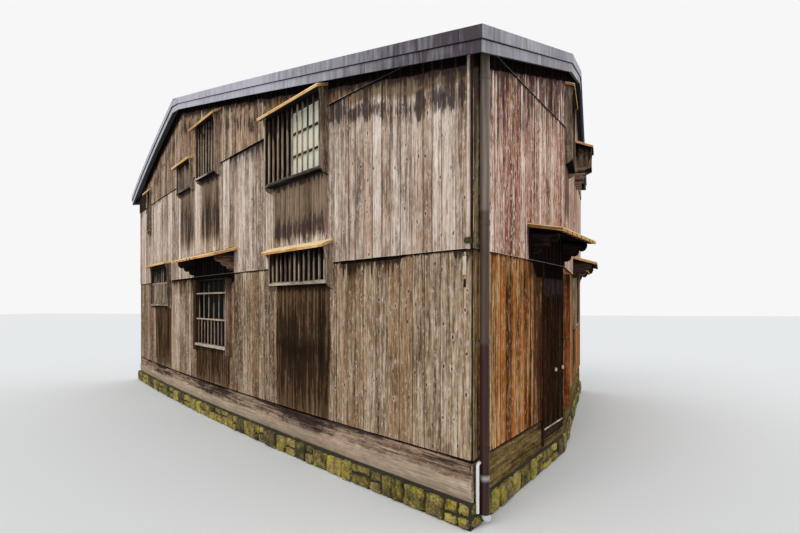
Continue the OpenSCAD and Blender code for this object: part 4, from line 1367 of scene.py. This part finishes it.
# The sharp corner: cover boards, a pale edge board, a peg and a small plate with slots in dark wood as
# painted shade
def build_corner():
    # Darker just below the middle joint and toward the top, with the eave's darkening
    def dark_stain_and_shade(x, z):
        if z < MID_JOINT:
            return limit(0.75 - (MID_JOINT - z) / 0.25), 0.0
        return max(0.75 * limit((z - 3.2) / 0.8), eave_shade(right_place, x, z)), 0.0

    slot = "corner_board"
    pile = Pile(right_place)
    for number, (low, high) in enumerate([(BOARD_Z, MID_JOINT - 0.004), (MID_JOINT, 4.56)]):
        for k, (left, right) in enumerate([(0.008, 0.052), (0.055, 0.106)]):
            plank(pile, left, right, low, flat_top(high), face_at(low + 0.1) + 0.004, [], dark_stain_and_shade,
                  1700 + 10 * number + k)
    pile.make("corner_cover_boards", OLIVE_WOOD, slot, thick=BOARD_T, replaces=["corner_board"])
    high = 4.58
    pale = Pile(left_place).bar((0.004, 0.034), (0.016, 0.034), (MID_JOINT - 0.01, high), 1720,
                                fade_up(MID_JOINT, high, 0.8, 0.6), 10)
    pale.make("corner_edge_board", LONG_WALL, slot, bevel=0.003)
    peg = Pile(left_place).prism([(0.01, 2.71), (0.06, 2.72), (0.064, 2.755), (0.05, 2.775), (0.01, 2.765)],
                                 -0.015, 0.05, 1730, 0.0, "x")
    peg.make("corner_peg", plain("mossy_peg", (52, 50, 22), 0.9, 0.5, 60.0), slot, bevel=0.006)
    plate = Pile(left_place).block((0.058, 0.1), (0.008, 0.016), (2.42, 2.6), 1731)
    plate.block((0.062, 0.086), (0.008, 0.015), (2.6, 2.64), 1732)
    plate.make("corner_plate", BLEACHED, slot, bevel=0.002)
    # Slots in dark wood: painted shade
    slots = Pile(left_place).block((0.066, 0.09), (0.008, 0.014), (2.3, 2.38), 1733)
    slots.block((0.05, 0.11), (0.008, 0.014), (2.645, 2.662), 1734)
    slots.make("corner_slots", DARK_WOOD, slot)


def build_post():
    top = 2.565
    # Darker toward the top: painted shade under the door awning
    post = Pile(side_place).bar((0.008, 0.113), (FACE_GAP, 0.095), (BOARD_Z, top), 1740,
                                fade_up(BOARD_Z, top, 0.75, 0.9), 10)
    post.make("bend_post_timber", POST_WOOD, "bend_post", bevel=0.008, replaces=["bend_post"])


# Door: planks on each leaf, turned knobs and a step below in dark wood as painted shade
KNOB_Z = 1.24
KNOB_SIDES = 28


def knob(name, t, body):
    """A pale turned knob."""
    pile = Pile(right_place)
    angles = [2 * math.pi * k / KNOB_SIDES for k in range(KNOB_SIDES)]
    rings = []
    for radius, out in [(0.012, 0.016), (0.026, 0.019), (0.0275, 0.026), (0.026, 0.034), (0.02, 0.039)]:
        rings.append([pile.point((t + radius * math.cos(a), out, KNOB_Z + radius * math.sin(a)), (0, 0, 0))
                      for a in angles])
    tip = pile.point((t, 0.0405, KNOB_Z), (0, 0, 0))
    for k in range(KNOB_SIDES):
        n = (k + 1) % KNOB_SIDES
        pile.faces += [(a[k], a[n], b[n], b[k]) for a, b in pairs(rings)]
        pile.faces.append((rings[-1][k], rings[-1][n], tip))
    pile.faces.append(rings[0][::-1])
    pile.make(name, KNOB_PALE, "door_boards", body)


def build_door():
    low = DOOR_BOTTOM + LEAF_GAP + 0.002
    # Planks darker toward the top: painted shade under the door head
    planks = ([], lambda x, z: (limit((z - 1.9) / 0.5), 0.0), "door_boards")
    half = MEETING_GAP / 2 + 0.001
    for side, limits, knob_at in [
        ("left", (DOOR_START + 0.013, DOOR_SEAM - half), DOOR_SEAM - 0.12),
        ("right", (DOOR_SEAM + half, DOOR_END - 0.013), DOOR_SEAM + 0.215),
    ]:
        body = side + "_leaf"
        plank_course("door_planks_" + side, right_place, limits, (0.09, 0.15), low,
                     flat_top(DOOR_TOP - 2 * LEAF_GAP), -0.006, planks, DOOR_WOOD, 40 + len(side), body)
        foot = Pile(right_place).block(limits, (0.0, 0.009), (low - 0.001, low + 0.02), 1750 + len(side),
                                       0.0, "x")
        foot.make("door_pale_foot_" + side, BLEACHED, "door_boards", body)
        knob("door_knob_" + side, knob_at, body)
    jamb = Pile(right_place).block((DOOR_START - 0.085, DOOR_START - 0.036), (0.008, 0.02),
                                   (0.3, MID_JOINT - 0.01), 1760)
    jamb.make("door_side_jamb", DOOR_WOOD, "door_frame", bevel=0.002)
    # The step in dark wood is painted shade in the recess under the door
    step = Pile(right_place).block((DOOR_START - FRAME_W, RIGHT_LENGTH - 0.004), (-0.02, -0.008),
                                   (DOOR_BOTTOM - 0.1, DOOR_BOTTOM - 0.036), 1770, 0.0, "x")
    step.make("door_dark_step", DARK_WOOD, "door_frame")


def dress_cad():
    """Materials for the CAD nodes that stay."""
    looks = {
        "footing": plain("dark_joint_mortar", (40, 36, 22), 0.95, 0.2, 18.0),
        "roof": ROOF_METAL,
        "ridge": ROOF_METAL,
        "fascia": FASCIA_CORE,
        "white_pipes": plain("white_pipe", (214, 216, 214), 0.35, 0.03, 5.0),
        "downpipe": pipe_paint(),
        # Panes near black: painted shade for the unlit room behind the glass
        "window_panes": plain("dark_glass", (12, 12, 12), 0.7, 0.05, 2.0, 0.03),
        "shoji_paper": plain("paper", (226, 226, 204), 0.85, 0.02, 2.0),
        "shoji_frame": plain("shoji_bars", (26, 22, 19), 0.8, 0.1, 9.0),
    }
    for name, node in NODES.items():
        node.data.materials.clear()
        fitting = [look for start, look in looks.items() if name.startswith(start)]
        node.data.materials.append(fitting[0] if fitting else HIDDEN_WOOD)


# Camera, light and floor
SENSOR = 36
PHOTO_W = 800
FOCAL_PIXELS = 533
HORIZON_PIXELS = 36.5
FLOOR_HALF = 90


def build_world():
    """One pale colour for the camera, and a slightly bluer one that lights the house."""
    world = bpy.data.worlds.new("soft_sky")
    bpy.context.scene.world = world
    t = Tree(world)
    mix = t.node("ShaderNodeMixShader")
    path = t.node("ShaderNodeLightPath").outputs
    t.put(mix.inputs["Fac"], t.math("MAXIMUM", path["Is Camera Ray"], path["Is Transmission Ray"]))
    for spot, colour, strength in [(1, (0.94, 0.97, 1.0, 1), 0.95), (2, (0.93, 0.93, 0.94, 1), 1.0)]:
        light = t.node("ShaderNodeBackground")
        light.inputs["Color"].default_value = colour
        light.inputs["Strength"].default_value = strength
        t.put(mix.inputs[spot], light.outputs[0])
    t.put(t.node("ShaderNodeOutputWorld").inputs["Surface"], mix.outputs[0])


def build_scene():
    scene = bpy.context.scene
    scene.view_settings.view_transform = "Standard"
    camera = bpy.data.cameras.new("camera")
    camera.sensor_width = SENSOR
    camera.lens = SENSOR * FOCAL_PIXELS / PHOTO_W
    camera.shift_y = HORIZON_PIXELS / PHOTO_W
    camera.clip_end = 400
    holder = add_object("camera", camera)
    holder.location = (0.1485, -5.0985, 2.15)
    holder.rotation_euler = (math.radians(90), 0, math.radians(9.34))
    scene.camera = holder
    build_world()
    lamp = bpy.data.lights.new("key", "SUN")
    lamp.energy = 0.9
    lamp.angle = math.radians(40)
    add_object("key", lamp).rotation_euler = (math.radians(48), 0, math.radians(-25))
    mesh = bpy.data.meshes.new("floor")
    corners = [(x * FLOOR_HALF, y * FLOOR_HALF, 0) for x, y in ((-1, -1), (1, -1), (1, 1), (-1, 1))]
    mesh.from_pydata(corners, [], [(0, 1, 2, 3)])
    floor = add_object("floor", mesh)
    t = new_tree("pale_floor")
    t.colour = (0.72, 0.72, 0.71, 1)
    mesh.materials.append(t.finish(0.9))


build_scene()
build_walls()
build_windows()
build_tall_window()
build_awnings()
build_fascia()
build_roof()
build_base_boards()
build_stones()
build_corner()
build_post()
build_door()
dress_cad()
